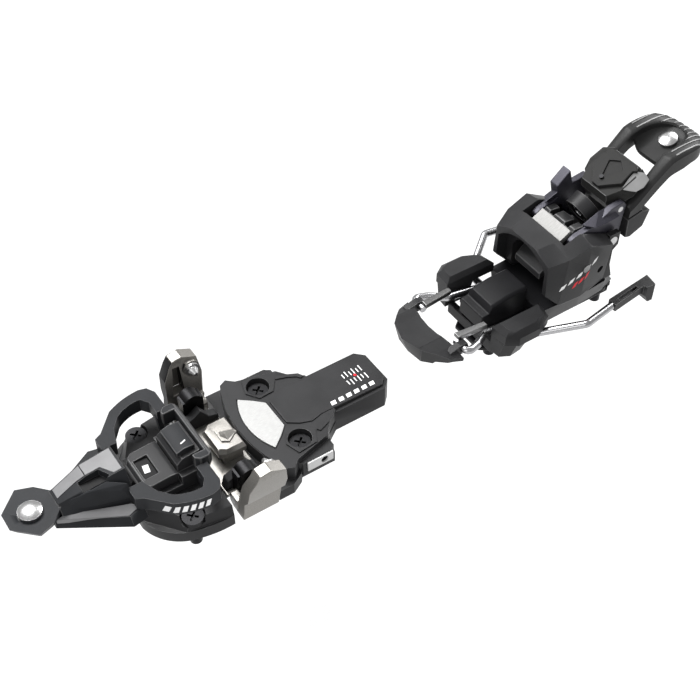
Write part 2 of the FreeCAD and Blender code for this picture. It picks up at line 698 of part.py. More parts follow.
def brake_frame():
    """Low frame round the front of the box that holds the brake."""
    body = new_body("brake_frame")
    pad(body, "Z", 4.5, 10.6, block(131.0, 134.2, 17.0))
    for side in (1, -1):
        low, high = levels(side, 8.8, 12.0)
        pad(body, "Y", low, high, [(134.0, 4.5), (139.7, 4.5), (139.7, 8.0), (157, 8.0), (157, 12.0),
                                   (144, 10.6), (134.0, 10.6)])
    return body


def brake_wire(side, name):
    """Spring wire: eye at the pedal, along the box, across to the side, out and back to the tip."""
    eye_x, eye_z = float(d.pedal_axis_place), float(d.pedal_axis_height)
    axis_x, axis_z = float(d.brake_axis_place), float(d.brake_axis_height)
    route = [(eye_x, 12.6, eye_z), (eye_x, 21.6, eye_z), (120.0, 19.4, 18.8), (128.2, 14.4, 17.6),
             (axis_x, 14.4, axis_z), (axis_x, 24.6, axis_z), (169.6, 38.6, 20.6), (187.3, 35.8, 20.6)]
    made = doc.addObject("Part::Feature", name)
    made.Label = name
    made.Shape = bent_rod([(x, side * y, z) for x, y, z in route], d.wire_radius, 2.4)
    nodes.append(made)
    return made


def brake_tip(side, name):
    """Plastic tip on the wire's end, with a slot and a claw that turns down and out."""
    body = new_body(name)
    pad(body, "Z", 18.4, 22.8, sided(side, [(187.5, 33.2), (187.5, 38.2), (213.8, 35.0), (213.8, 30.6)]))
    pad(body, "Z", 12.4, 22.8, sided(side, [(206.8, 31.6), (208.4, 37.6), (213.4, 37.8), (214.6, 30.4)]))
    cut(body, "Y", -60, 60, [(186, 18.45), (204, 18.45), (208.6, 16.6), (210.4, 12.3), (210.4, 9), (186, 9)])
    cut(body, "Z", 17, 24, sided(side, [(191.5, 35.2), (191.5, 36.6), (204.5, 35.0), (204.5, 33.6)]))
    return body


def brake_pedal():
    """Curved pad that the boot presses, with an ear on the wire at each end."""
    body = new_body("brake_pedal")
    outer = [(90.8, 0), (94.0, 10.8), (102.9, 20.6), (110.2, 22.8), (108.2, 12.8), (106.4, 6.4), (106.0, 0)]
    inner = [(94.6, 0), (95.6, 8.6), (104.0, 17.8), (110.0, 21.4), (108.0, 12.4), (106.2, 6.2), (105.8, 0)]

    def whole(half):
        return half + [(x, -y) for x, y in reversed(half[1:-1])]

    loft(body, "Z", [(12.2, whole(inner)), (22.4, whole(outer))])
    # the ends drop, so the pad is an arch across the ski
    for side in (1, -1):
        cut(body, "X", 80, 120,
            sided(side, [(9.0, 22.5), (9.0, 22.3), (15.0, 21.0), (24, 17.0), (26, 17.0), (26, 22.5)], True))
    cut(body, "Y", -30, 30, [(99.0, 10), (120, 10), (120, 15.6), (106, 15.6), (100.0, 14.0)])
    for side in (1, -1):
        low, high = levels(side, 15.2, 18.6)
        pad(body, "Y", low, high, [(105.0, 18.2), (105.0, 20.4), (110.6, 22.2), (114.6, 22.0), (115.4, 19.4),
                                   (113.6, 16.6), (110.6, 16.6)])
        cut(body, "Y", low - 0.5, high + 0.5,
            ((d.pedal_axis_place, d.pedal_axis_height), d.wire_radius + d.fit_gap))
    return body


def brake_links():
    """Flat bars beside the wires."""
    for side, name in ((1, "brake_link_left"), (-1, "brake_link_right")):
        body = new_body(name)
        loft(body, "Z", [(21.25, sided(side, [(112.6, 10.6), (112.6, 14.7), (128.6, 15.6), (128.6, 12.2)])),
                         (23.4, sided(side, [(112.6, 10.9), (112.6, 14.4), (128.6, 15.2), (128.6, 12.4)]))])


def heel_housing():
    """Big faceted shell of the heel, with an arched front mouth and an open top slot."""
    body = new_body("heel_housing")
    seat = d.carriage_top + 0.1
    loft(body, "X", [(158.8, hexagon_section(19.6, 28.6, 18.6, 45.6, 9.0, 50.0)),
                     (168.0, hexagon_section(21.0, seat, 22.4, 48.6, 11.0, 51.4)),
                     (180.0, hexagon_section(21.8, seat, 23.6, 52.0, 15.6, 53.8)),
                     (197.0, hexagon_section(18.6, seat, 21.0, 43.6, 15.6, 46.4))])
    arch = [(-13.4, 10), (13.4, 10), (13.4, 34.0), (0, 43.6, VIA), (-13.4, 34.0)]
    cut(body, "X", 150, 187, arch)
    mouth = [(-17.0, 10), (17.0, 10), (17.0, 41.0), (0, 48.6, VIA), (-17.0, 41.0)]
    cut(body, "X", 150, 165.5, mouth)
    cut(body, "Z", 34, 70, block(d.slot_front, 210, d.slot_half))
    cut(body, "Z", 26, 70, block(186, 210, d.slot_half))
    for side in (1, -1):
        low, high = levels(side, d.slot_half - 1, 26)
        cut(body, "Y", low, high, ((d.heel_axis_place - 8, 30), 2.0))
    cut(body, "Y", -26, 26, ((d.jaw_axis_place, d.jaw_axis_height), d.jaw_axle_radius))
    return body


def heel_struts():
    """Rear struts that tie the housing to the carriage and hold the lever's axle."""
    for side, name in ((1, "heel_strut_left"), (-1, "heel_strut_right")):
        body = new_body(name)
        low, high = levels(side, 15.2, 18.2)
        pad(body, "Y", low, high, [(197.3, d.carriage_top + 0.1), (203.2, d.carriage_top + 0.1), (200.8, 27),
                                   (200.8, 36.0), (203.8, 38.6), (203.8, 46.2), (197.3, 46.2)])
        cut(body, "Y", low - 1, high + 1,
            ((d.heel_axis_place, d.heel_axis_height), d.heel_axle_radius + d.fit_gap))


def heel_jaw():
    """Jaw that closes over the boot's heel, its steel wear plate and its axle."""
    body = new_body("heel_jaw")
    pad(body, "Y", -d.jaw_half, d.jaw_half, [(171.4, 46.4), (171.4, 31.4), (184.0, 31.4), (186.6, 36),
                                             (186.6, 52.0), (181, 52.6), (178.6, 50.2)])
    # lip that takes the boot's heel
    pad(body, "Y", -9.0, 9.0, [(163.8, 28.8), (171.4, 31.4), (171.4, 38.6), (163.8, 32.4)])
    # ribs across its back
    for low in (-6.6, 3.8):
        cut(body, "Y", low, low + 2.8, rect(180.2, 188, 47.4, 54))
    cut(body, "Y", -12, 12, ((d.jaw_axis_place, d.jaw_axis_height), d.jaw_axle_radius + d.fit_gap))
    plate = new_body("jaw_plate")
    pad(plate, "Y", -10.1, 10.1,
        [(171.6, 46.75), (172.7, 49.4), (178.6, 52.8), (179.6, 51.5), (178.4, 50.35)])
    cylinder("jaw_axle", d.jaw_axle_radius, 46.0, (d.jaw_axis_place, -23.0, d.jaw_axis_height), V(0, 1, 0))


def heel_fork():
    """Side wings of the heel lever, one with an upright ear, and the two cross axles."""
    for side, name in ((1, "fork_left"), (-1, "fork_right")):
        body = new_body(name)
        low, high = levels(side, d.fork_inner, d.fork_outer)
        profile = [(176.0, 46.8), (175.8, 49.4), (178.6, 51.4), (186.0, 52.8), (192.0, 55.4), (199.0, 59.4),
                   (206.4, 60.4), (208.4, 58.0), (206.6, 41.0), (200.0, 37.6), (195.6, 40.4), (192.0, 48.4),
                   (184.0, 48.6)]
        pad(body, "Y", low, high, profile)
        if side > 0:
            ear = [(189.0, 53.4), (187.2, 61.0), (194.6, 67.4), (197.4, 58.0)]
            pad(body, "Y", low, high + 2.0, ear)
        cut(body, "Y", low - 0.5, high + 0.5, ((d.heel_axis_place, d.heel_axis_height), d.heel_axle_radius))
        axle = ((d.riser_axis_place, d.riser_axis_height), d.riser_axle_radius)
        cut(body, "Y", low - 0.5, high + 2.5, axle)
    cylinder("heel_lever_axle", d.heel_axle_radius, 36.4,
             (d.heel_axis_place, -18.2, d.heel_axis_height), V(0, 1, 0))
    cylinder("riser_axle", d.riser_axle_radius, d.fork_outer * 2,
             (d.riser_axis_place, -d.fork_outer, d.riser_axis_height), V(0, 1, 0))


def spring_barrel():
    """Barrel of the heel's release spring, with the spring inside."""
    slope = math.radians(30)
    tilt = FreeCAD.Rotation(V(0, 0, 1), V(math.cos(slope), 0, math.sin(slope)))
    base = V(191.7, 0, 50.8)
    barrel = doc.addObject("Part::Feature", "spring_barrel")
    barrel.Label = "spring_barrel"
    barrel.Shape = Part.makeCylinder(7.8, 7.0).cut(Part.makeCylinder(6.2, 6.0, V(0, 0, -1)))
    barrel.Placement = FreeCAD.Placement(base, tilt)
    nodes.append(barrel)
    spring = doc.addObject("Part::Feature", "heel_release_spring")
    spring.Label = "heel_release_spring"
    spring.Shape = spring_shape(4.6, 0.8, 2.0, 1.2)
    spring.Placement = FreeCAD.Placement(base + tilt.multVec(V(0, 0, 1.0)), tilt)
    nodes.append(spring)


def heel_lever():
    """Long lever: two rails rising back to a ribbed ring with a spoon recess."""
    body = new_body("heel_lever")
    profile = [(209.2, 49.4), (208.8, 55.0), (213.6, 58.0), (231.6, 74.6), (250.0, 76.8), (262.0, 72.6),
               (266.0, 67.4), (264.6, 65.4), (257.0, 67.4), (244.0, 67.6), (236.0, 64.6), (219.0, 51.4)]
    pad(body, "Y", -d.rail_outer, d.rail_outer, profile)
    # rounded end in plan
    for side in (1, -1):
        corner = [(240.0, 18.0), (240.0, 16.61), (253.0, 15.2), (263.0, 11.6), (268.2, 4.0), (270.0, 4.0),
                  (270.0, 18.0)]
        cut(body, "Z", 40, 90, sided(side, corner))
    # open between the rails, and the window behind the riser
    cut(body, "Z", 40, 90, block(200.0, 223.0, d.rail_inner))
    cut(body, "Z", 40, 90, block(222.0, 234.0, 9.0))
    # spoon recess, its floor rising to the rear
    rise = math.tan(math.radians(d.spoon_slope))
    cut(body, "Y", -10.6, 10.6, [(233.0, d.spoon_front), (250.0, d.spoon_front + 17.0 * rise), (256.0, 75.0),
                                 (258.0, 90.0), (233.0, 90.0)])
    # grip ribs over the ring
    for i in range(4):
        side = 3.2 + i * 3.6
        for low, high in ((side, side + 1.0), (-side - 1.0, -side)):
            cut(body, "Y", low, high, [(251.0, 76.0), (262.0, 72.0), (266.0, 66.8), (268.0, 68.0),
                                       (264.0, 80.0), (251.0, 80.0)])
    return body


def heel_lever_trim():
    """Rivet of the spoon and the rear block under the rails."""
    rivet = doc.addObject("Part::Feature", "lever_rivet")
    rivet.Label = "lever_rivet"
    rim = Part.makeCylinder(4.6, 1.4)
    dome = Part.makeSphere(9.0, V(0, 0, -6.1)).common(Part.makeCylinder(4.6, 6, V(0, 0, 1.4)))
    rivet.Shape = rim.fuse(dome)
    height = d.spoon_front + (d.rivet_place - 233.0) * math.tan(math.radians(d.spoon_slope)) + d.fit_gap
    tilt = FreeCAD.Rotation(V(0, 1, 0), -float(d.spoon_slope))
    rivet.Placement = FreeCAD.Placement(V(d.rivet_place, 0, height), tilt)
    nodes.append(rivet)
    block_body = new_body("lever_block")
    pad(block_body, "Y", -11.0, 11.0, [(209.0, 40.6), (208.8, 51.4), (218.4, 53.4), (221.4, 49.0),
                                       (222.6, 45.4), (219.6, 38.8), (212.0, 36.4)])
    for side in (1, -1):
        low, high = levels(side, 11.0, 16.4)
        pad(block_body, "Y", low, high, [(210.0, 38.2), (209.6, 49.0), (218.8, 50.8), (223.6, 49.4),
                                         (220.6, 40.6), (213.0, 37.4)])


def riser():
    """Climbing aid: faceted body on its axle, cap with a pentagon recess and a small screw."""
    turn = FreeCAD.Rotation(V(0, 1, 0), -25)
    base = V(float(d.riser_axis_place), 0, float(d.riser_axis_height))
    body = new_body("riser_body")
    loft(body, "Z", [(-2.6, across([(-3.0, 7.4), (2.6, 10.4), (6.0, 10.6), (13.0, 10.6), (18.6, 7.0)])),
                     (3.6, across([(-3.6, 8.6), (1.0, 10.6), (5.0, 10.6), (14.0, 10.6), (20.4, 7.6)])),
                     (5.4, across([(-2.6, 8.6), (1.4, 10.4), (5.0, 12.4), (14.0, 12.4), (19.8, 8.2)])),
                     (7.6, across([(-2.0, 8.4), (1.4, 10.0), (5.0, 11.4), (14.0, 11.4), (19.2, 7.4)]))])
    cut(body, "Y", -12, 12, ((0, 0), d.riser_axle_radius + d.fit_gap))
    cap = new_body("riser_cap")
    loft(cap, "Z", [(7.62, across([(-0.2, 4.6), (3.6, 8.2), (13.0, 8.6), (18.8, 5.2)])),
                    (9.6, across([(0.6, 4.2), (4.2, 7.6), (12.8, 8.0), (18.0, 4.8)]))])
    cut(cap, "Z", 8.2, 10, across([(6.0, 1.2), (9.0, 3.8), (14.0, 3.8)]))
    small = doc.addObject("Part::Feature", "riser_screw")
    small.Label = "riser_screw"
    small.Shape = Part.makeCylinder(1.1, 1.0, V(3.4, 0, 9.62))
    nodes.append(small)
    for piece in (body, cap, small):
        piece.Placement = FreeCAD.Placement(base, turn)


# ---------------------------------------------------------------- build, check and write

toe_base()
toe_trim()
mounting_screws()
toe_slide()
pin_levers()
toe_tower()
mode_block()
toe_spring_parts()
front_lever()
front_lever_trim()
heel_track()
heel_carriage()
length_screw()
heel_base_block()
for pad_side, pad_end in ((1, "left"), (-1, "right")):
    support_pad(pad_side, "support_pad_" + pad_end)
    brake_wire(pad_side, "brake_wire_" + pad_end)
    brake_tip(pad_side, "brake_tip_" + pad_end)
brake_frame()
brake_pedal()
brake_links()
heel_housing()
heel_struts()
heel_jaw()
heel_fork()
spring_barrel()
heel_lever()
heel_lever_trim()
riser()
doc.recompute()

os.makedirs("parts", exist_ok=True)
problems = []
for thing in doc.Objects:
    if "Invalid" in thing.State or "Error" in thing.State:
        problems.append("%s %s" % (thing.Name, thing.State))
    if thing.TypeId == "PartDesign::Pocket" and thing.BaseFeature is not None and not thing.Shape.isNull():
        if thing.BaseFeature.Shape.Volume - thing.Shape.Volume < 1e-3:
            parent = thing.getParentGeoFeatureGroup()
            problems.append("%s of %s cuts nothing" % (thing.Name, parent.Label if parent else "?"))
for node in nodes:
    if node.Shape.isNull() or not node.Shape.isValid():
        problems.append(node.Label + " has no valid shape")
    elif node.TypeId == "PartDesign::Body" and len(node.Shape.Solids) != 1:
        problems.append("%s has %d solids" % (node.Label, len(node.Shape.Solids)))
if problems:
    raise RuntimeError("; ".join(problems))
for node in nodes:
    node.Shape.exportStep("parts/%s.step" % node.Label)
print("%d nodes" % len(nodes))
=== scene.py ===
import json
import math

import bmesh
import bpy
from mathutils import Matrix, Vector
from mathutils.bvhtree import BVHTree


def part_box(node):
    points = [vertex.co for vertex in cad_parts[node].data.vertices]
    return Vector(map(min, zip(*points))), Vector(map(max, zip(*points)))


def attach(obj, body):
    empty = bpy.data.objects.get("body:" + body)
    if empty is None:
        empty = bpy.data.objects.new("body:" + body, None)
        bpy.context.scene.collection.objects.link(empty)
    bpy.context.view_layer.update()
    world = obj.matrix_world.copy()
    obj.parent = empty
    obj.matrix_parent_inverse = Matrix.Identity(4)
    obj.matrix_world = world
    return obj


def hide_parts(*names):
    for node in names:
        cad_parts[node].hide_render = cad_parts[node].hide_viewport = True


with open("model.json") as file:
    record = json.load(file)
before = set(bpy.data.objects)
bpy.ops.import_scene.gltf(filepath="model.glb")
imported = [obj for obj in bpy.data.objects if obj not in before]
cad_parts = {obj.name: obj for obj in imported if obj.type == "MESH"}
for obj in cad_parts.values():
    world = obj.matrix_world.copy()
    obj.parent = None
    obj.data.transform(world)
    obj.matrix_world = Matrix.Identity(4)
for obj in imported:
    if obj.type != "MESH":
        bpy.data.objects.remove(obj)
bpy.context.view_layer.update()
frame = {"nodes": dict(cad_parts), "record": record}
record = frame["record"]

# Shapes are given in millimetres of the CAD frame: X runs from the toe unit to the heel unit, and Z is up.
MM = 0.001


# ------------------------------------------------------------------ materials

PLASTIC_DRIFT_SCALE, PLASTIC_DRIFT_DETAIL = 60.0, 4.0
PLASTIC_GRAIN_SCALE, PLASTIC_GRAIN_DETAIL = 2600.0, 2.0
PLASTIC_GRAIN_DEPTH = 0.00006
PLASTIC_GLOSS_SPREAD = 0.06
METAL_DETAIL = 5.0
METAL_GRAIN_DEPTH = 0.00008
SMOOTHEST = 0.02


def new_material(name):
    """A material with its own Principled shader; returns the material, its nodes, links and shader."""
    made = bpy.data.materials.new(name)
    made.use_nodes = True
    nodes, links = made.node_tree.nodes, made.node_tree.links
    return made, nodes, links, nodes["Principled BSDF"]


def noise(nodes, links, scale, detail, stretch=None):
    """Noise in the object's own coordinates, optionally stretched along its axes."""
    place = nodes.new("ShaderNodeTexCoord")
    texture = nodes.new("ShaderNodeTexNoise")
    texture.inputs["Scale"].default_value = scale
    texture.inputs["Detail"].default_value = detail
    if stretch:
        mapping = nodes.new("ShaderNodeMapping")
        mapping.inputs["Scale"].default_value = stretch
        links.new(place.outputs["Object"], mapping.inputs["Vector"])
        links.new(mapping.outputs["Vector"], texture.inputs["Vector"])
    else:
        links.new(place.outputs["Object"], texture.inputs["Vector"])
    return texture


def ramp(nodes, links, source, low, high, positions=(0.35, 0.65)):
    """A two-colour ramp fed by a value."""
    made = nodes.new("ShaderNodeValToRGB")
    made.color_ramp.elements[0].position = positions[0]
    made.color_ramp.elements[1].position = positions[1]
    made.color_ramp.elements[0].color = (*low, 1)
    made.color_ramp.elements[1].color = (*high, 1)
    links.new(source, made.inputs["Fac"])
    return made


def bump(nodes, links, shader, source, strength, distance):
    """Bump on a shader from a value."""
    made = nodes.new("ShaderNodeBump")
    made.inputs["Strength"].default_value = strength
    made.inputs["Distance"].default_value = distance
    links.new(source, made.inputs["Height"])
    links.new(made.outputs["Normal"], shader.inputs["Normal"])


def tint(nodes, links, shader, texture, colour, darker, lighter):
    """Base colour that drifts between a darker and a lighter share of one colour."""
    low = [c * darker for c in colour]
    high = [min(1, c * lighter) for c in colour]
    tone = ramp(nodes, links, texture.outputs["Fac"], low, high)
    links.new(tone.outputs["Color"], shader.inputs["Base Color"])


def uneven_gloss(nodes, links, shader, texture, low, high):
    """Roughness that drifts between two values."""
    gloss = nodes.new("ShaderNodeMapRange")
    gloss.inputs["To Min"].default_value = low
    gloss.inputs["To Max"].default_value = high
    links.new(texture.outputs["Fac"], gloss.inputs["Value"])
    links.new(gloss.outputs["Result"], shader.inputs["Roughness"])


def moulded(name, colour, rough=0.5, grain=0.22, specular=0.15):
    """Injection-moulded plastic: faint colour drift, fine spark-eroded grain and uneven gloss."""
    made, nodes, links, shader = new_material(name)
    shader.inputs["Specular IOR Level"].default_value = specular
    drift = noise(nodes, links, PLASTIC_DRIFT_SCALE, PLASTIC_DRIFT_DETAIL)
    tint(nodes, links, shader, drift, colour, 0.86, 1.14)
    uneven_gloss(nodes, links, shader, drift, rough - PLASTIC_GLOSS_SPREAD, rough + PLASTIC_GLOSS_SPREAD)
    fine = noise(nodes, links, PLASTIC_GRAIN_SCALE, PLASTIC_GRAIN_DETAIL)
    bump(nodes, links, shader, fine.outputs["Fac"], grain, PLASTIC_GRAIN_DEPTH)
    return made


def metal(name, colour, rough=0.3, stretch=(1, 1, 1), scale=900.0, depth=0.15, spread=0.10, metallic=1.0):
    """Metal with brushing or a forged skin, set by how the noise is stretched."""
    made, nodes, links, shader = new_material(name)
    shader.inputs["Metallic"].default_value = metallic
    lines = noise(nodes, links, scale, METAL_DETAIL, stretch)
    tint(nodes, links, shader, lines, colour, 0.85, 1.12)
    uneven_gloss(nodes, links, shader, lines, max(SMOOTHEST, rough - spread), rough + spread)
    bump(nodes, links, shader, lines.outputs["Fac"], depth, METAL_GRAIN_DEPTH)
    return made


MATERIALS = {
    "base_plastic": moulded("base_plastic", (0.022, 0.022, 0.023), 0.42),
    "lever_plastic": moulded("lever_plastic", (0.020, 0.021, 0.023), 0.42, specular=0.08),
    "badge_plate": metal("badge_plate", (0.345, 0.345, 0.34), rough=0.40, stretch=(1, 16, 1), scale=420.0,
                         depth=0.05, spread=0.10, metallic=0.2),
    "pale_inlay": moulded("pale_inlay", (0.19, 0.19, 0.194), 0.38, grain=0.12),
    "dark_steel": metal("dark_steel", (0.020, 0.020, 0.021), rough=0.42, scale=2400.0, depth=0.10,
                        spread=0.06),
    "forged_steel": metal("forged_steel", (0.245, 0.235, 0.219), rough=0.30, scale=2600.0, depth=0.12,
                          spread=0.05, metallic=0.65),
    "bright_steel": metal("bright_steel", (0.52, 0.52, 0.52), rough=0.30, scale=2000.0, depth=0.02,
                          spread=0.04),
    "spring_steel": metal("spring_steel", (0.42, 0.42, 0.43), rough=0.25, scale=2000.0, depth=0.06,
                          spread=0.05),
    "track_plastic": moulded("track_plastic", (0.009, 0.009, 0.010), 0.42),
    "pad_plastic": moulded("pad_plastic", (0.021, 0.021, 0.022), 0.42),
    "link_steel": metal("link_steel", (0.20, 0.20, 0.20), rough=0.30, scale=2400.0, depth=0.08, spread=0.05),
    "housing_plastic": moulded("housing_plastic", (0.021, 0.021, 0.022), 0.38),
    "fork_alloy": metal("fork_alloy", (0.036, 0.035, 0.046), rough=0.40, scale=2200.0, depth=0.08,
                        spread=0.05, metallic=0.5),
    "wear_plate": metal("wear_plate", (0.265, 0.262, 0.255), rough=0.50, stretch=(1, 12, 1), scale=420.0,
                        depth=0.06, spread=0.06, metallic=0.12),
    "handle_plastic": moulded("handle_plastic", (0.021, 0.021, 0.021), 0.40),
    "riser_plastic": moulded("riser_plastic", (0.019, 0.019, 0.0185), 0.44, specular=0.08),
}
WHITE_PRINT = moulded("white_print", (0.80, 0.80, 0.80), 0.45, grain=0.05)
RED_PRINT = moulded("red_print", (0.62, 0.02, 0.03), 0.42, grain=0.05)
# Pale plastic for the riser's wing; on the grip ribs it is painted highlight standing in for the light their
# ridges catch.
PALE_WING_AND_RIB_HIGHLIGHT = moulded("pale_wing_and_rib_highlight", (0.24, 0.24, 0.24), 0.40)
LUG_PLASTIC = moulded("lug_plastic", (0.55, 0.55, 0.55), 0.42, grain=0.10)
# Painted highlight: narrowly rounded edges get a paler, glossier material that stands in for the light they
# catch.
WIDEST_PAINTED_HIGHLIGHT = 0.75
EDGE_HIGHLIGHT_PAINT = {
    slot: moulded(slot + "_edge", (0.060, 0.060, 0.061), 0.34, grain=0.1, specular=0.35)
    for slot in ("base_plastic", "lever_plastic", "pad_plastic", "housing_plastic", "riser_plastic")
}
# Near-black painted shade, used for the lever's recess and for the tile seen through the toe window.
PAINTED_RECESS_SHADE = moulded("painted_recess_shade", (0.003, 0.003, 0.0035), 0.50)

SLOT_OF = {row["node"]: row["material_slot"] for row in record["subparts"]}
BODY_OF = {node: body for body, nodes in record["behaviour"]["bodies"].items() for node in nodes}


# ------------------------------------------------------------------ pieces

# Flat marks are thin plates let into the surface; marks on a curved surface are draped over it.
MARK_DEPTH, WINDOW_MARK_DEPTH, MARK_EDGE = 0.5, 0.4, 0.04
PRINT_LIFT, PRINT_GRID = 0.06, 0.7


SHARP, RING_SHARP = 32.0, 40.0


def finish_mesh(bm, name, material, sharp=SHARP):
    """Turn a bmesh into a smooth-shaded object with crisp edges."""
    mesh = bpy.data.meshes.new(name)
    bmesh.ops.recalc_face_normals(bm, faces=bm.faces)
    for face in bm.faces:
        face.smooth = True
    bm.to_mesh(mesh)
    bm.free()
    mesh.set_sharp_from_angle(angle=math.radians(sharp))
    mesh.materials.append(material)
    made = bpy.data.objects.new(name, mesh)
    bpy.context.scene.collection.objects.link(made)
    even = made.modifiers.new("even", "WEIGHTED_NORMAL")
    even.keep_sharp = True
    return made


# An edge has room to be rounded when every edge next to it is this many times as long as the rounding is
# wide. Edges without it get a second try at half the width.
ROOM_PER_WIDTH = 2.1
ROUNDING_SHARES = (1.0, 0.5)
ROUNDING_PROFILE = 0.6


def round_edges(bm, width, limit=26.0, segments=2):
    """Round the edges that are sharper than a limit and have room for it; returns the faces this makes."""
    made = []
    for share in ROUNDING_SHARES:
        reach = width * share

        def has_room(edge):
            beside = [other for vertex in edge.verts for other in vertex.link_edges]
            return min(other.calc_length() for other in beside) > ROOM_PER_WIDTH * reach

        def is_sharp(edge):
            return len(edge.link_faces) == 2 and edge.calc_face_angle(0) > math.radians(limit)

        picked = [edge for edge in bm.edges if is_sharp(edge) and has_room(edge)]
        if picked:
            made += bmesh.ops.bevel(bm, geom=picked, offset=reach, segments=segments,
                                    profile=ROUNDING_PROFILE, affect="EDGES", clamp_overlap=True)["faces"]
    return [face for face in made if face.is_valid]


def temporary(bm):
    """A temporary object from a bmesh, used to shape another piece."""
    bmesh.ops.recalc_face_normals(bm, faces=bm.faces)
    mesh = bpy.data.meshes.new("tool")
    bm.to_mesh(mesh)
    bm.free()
    tool = bpy.data.objects.new("tool", mesh)
    bpy.context.scene.collection.objects.link(tool)
    return tool


def discard(spent):
    """Remove a temporary object and its mesh."""
    mesh = spent.data
    bpy.data.objects.remove(spent)
    bpy.data.meshes.remove(mesh)


def solid_from(vertices, faces):
    """A temporary solid from millimetre points and faces."""
    bm = bmesh.new()
    made = [bm.verts.new(Vector(v) * MM) for v in vertices]
    for face in faces:
        bm.faces.new([made[i] for i in face])
    return temporary(bm)


def hull(points):
    """A temporary convex solid round millimetre points."""
    bm = bmesh.new()
    for point in points:
        bm.verts.new(Vector(point) * MM)
    bmesh.ops.convex_hull(bm, input=bm.verts)
    loose = [v for v in bm.verts if not v.link_faces]
    bmesh.ops.delete(bm, geom=loose, context="VERTS")
    return temporary(bm)


def prism_faces(count):
    """Faces of a prism whose lower outline comes first, then its upper one."""
    faces = [tuple(range(count)), tuple(range(count, 2 * count))]
    return faces + [(i, (i + 1) % count, (i + 1) % count + count, i + count) for i in range(count)]


def prism(outline, low, high):
    """A temporary solid: a level millimetre outline between two heights."""
    points = [(x, y, level) for level in (low, high) for x, y in outline]
    return solid_from(points, prism_faces(len(outline)))


def combine(bm, tools, operation):
    """The bmesh cut by, or joined to, temporary solids, which are used up."""
    for tool in tools:
        mesh = bpy.data.meshes.new("work")
        bm.to_mesh(mesh)
        work = bpy.data.objects.new("work", mesh)
        bpy.context.scene.collection.objects.link(work)
        step = work.modifiers.new("step", "BOOLEAN")
        step.operation = operation
        step.solver = "EXACT"
        step.object = tool
        bpy.context.view_layer.update()
        result = bpy.data.meshes.new_from_object(work.evaluated_get(bpy.context.evaluated_depsgraph_get()))
        bm.clear()
        bm.from_mesh(result)
        discard(work)
        discard(tool)
        bpy.data.meshes.remove(result)


MERGE_AT_FIRST, MERGE_AFTER_CUTS = 0.01, 0.02
FLAT_WITHIN = math.radians(1.0)


def join_flat_faces(bm):
    """Join faces that lie in one plane."""
    bmesh.ops.dissolve_limit(bm, angle_limit=FLAT_WITHIN, verts=bm.verts, edges=bm.edges)


def refine(node, width, cuts=(), adds=(), segments=2):
    """A CAD node's own shape as a new piece: cleaned of its triangles, detailed, and with rounded edges."""
    bm = bmesh.new()
    bm.from_mesh(bpy.data.objects[node].data)
    bmesh.ops.remove_doubles(bm, verts=bm.verts, dist=MERGE_AT_FIRST * MM)
    join_flat_faces(bm)
    combine(bm, adds, "UNION")
    combine(bm, cuts, "DIFFERENCE")
    bmesh.ops.remove_doubles(bm, verts=bm.verts, dist=MERGE_AFTER_CUTS * MM)
    join_flat_faces(bm)
    rounded = round_edges(bm, width * MM, segments=segments)
    slot = SLOT_OF[node]
    # Painted highlight: the rounded edge faces of these plastics get the paler edge material.
    highlighted = slot in EDGE_HIGHLIGHT_PAINT and width < WIDEST_PAINTED_HIGHLIGHT
    if highlighted:
        for face in rounded:
            face.material_index = 1
    made = finish_mesh(bm, node + "_form", MATERIALS[slot])
    if highlighted:
        made.data.materials.append(EDGE_HIGHLIGHT_PAINT[slot])
    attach(made, BODY_OF[node])
    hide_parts(node)
    return made


DROP_FROM = 400.0


def drape(name, onto, outline, material, body, axis="Z", side=1, *, lift, depth, grid):
    """A thin plate laid on a piece: an outline seen along an axis, cut into a grid and dropped onto it.

    It stands lift millimetres above the surface and is depth millimetres thick.
    """
    tree = BVHTree.FromObject(onto, bpy.context.evaluated_depsgraph_get())
    order = {"X": (1, 2, 0), "Y": (0, 2, 1), "Z": (0, 1, 2)}[axis]

    def place(u, v, level):
        spot = [0.0, 0.0, 0.0]
        spot[order[0]], spot[order[1]], spot[order[2]] = u, v, level
        return Vector(spot)

    bm = bmesh.new()
    bm.faces.new([bm.verts.new(place(u * MM, v * MM, 0)) for u, v in outline])
    for which in (0, 1):
        values = [point[which] for point in outline]
        normal = place(*((1, 0) if which == 0 else (0, 1)), 0)
        level = math.floor(min(values) / grid) * grid
        while level < max(values):
            geometry = bm.verts[:] + bm.edges[:] + bm.faces[:]
            bmesh.ops.bisect_plane(bm, geom=geometry, plane_co=normal * level * MM, plane_no=normal,
                                   dist=0.001 * MM)
            level += grid
    ray = place(0, 0, -side)
    missed = []
    for vertex in bm.verts:
        start = vertex.co + place(0, 0, side * DROP_FROM * MM)
        spot = tree.ray_cast(start, ray)[0]
        if spot is None:
            missed.append(vertex)
        else:
            vertex.co = spot + place(0, 0, side * lift * MM)
    bmesh.ops.delete(bm, geom=missed, context="VERTS")
    grown = bmesh.ops.extrude_face_region(bm, geom=bm.faces[:])
    for item in grown["geom"]:
        if isinstance(item, bmesh.types.BMVert):
            item.co -= place(0, 0, side * depth * MM)
    made = finish_mesh(bm, name, material)
    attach(made, body)
    return made


def plate(name, top, thickness, material, body, width=0.2):
    """A closed plate: corners of its face in millimetres, and how far it goes into what it lies on."""
    bm = bmesh.new()
    upper = [bm.verts.new(Vector(p) * MM) for p in top]
    lower = [bm.verts.new((Vector(p) - Vector((0, 0, thickness))) * MM) for p in top]
    bm.faces.new(upper)
    bm.faces.new(lower[::-1])
    for i in range(len(top)):
        after = (i + 1) % len(top)
        bm.faces.new((upper[i], lower[i], lower[after], upper[after]))
    bmesh.ops.recalc_face_normals(bm, faces=bm.faces)
    round_edges(bm, width * MM)
    made = finish_mesh(bm, name, material)
    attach(made, body)
    return made


FACET_LIMIT = 8.0


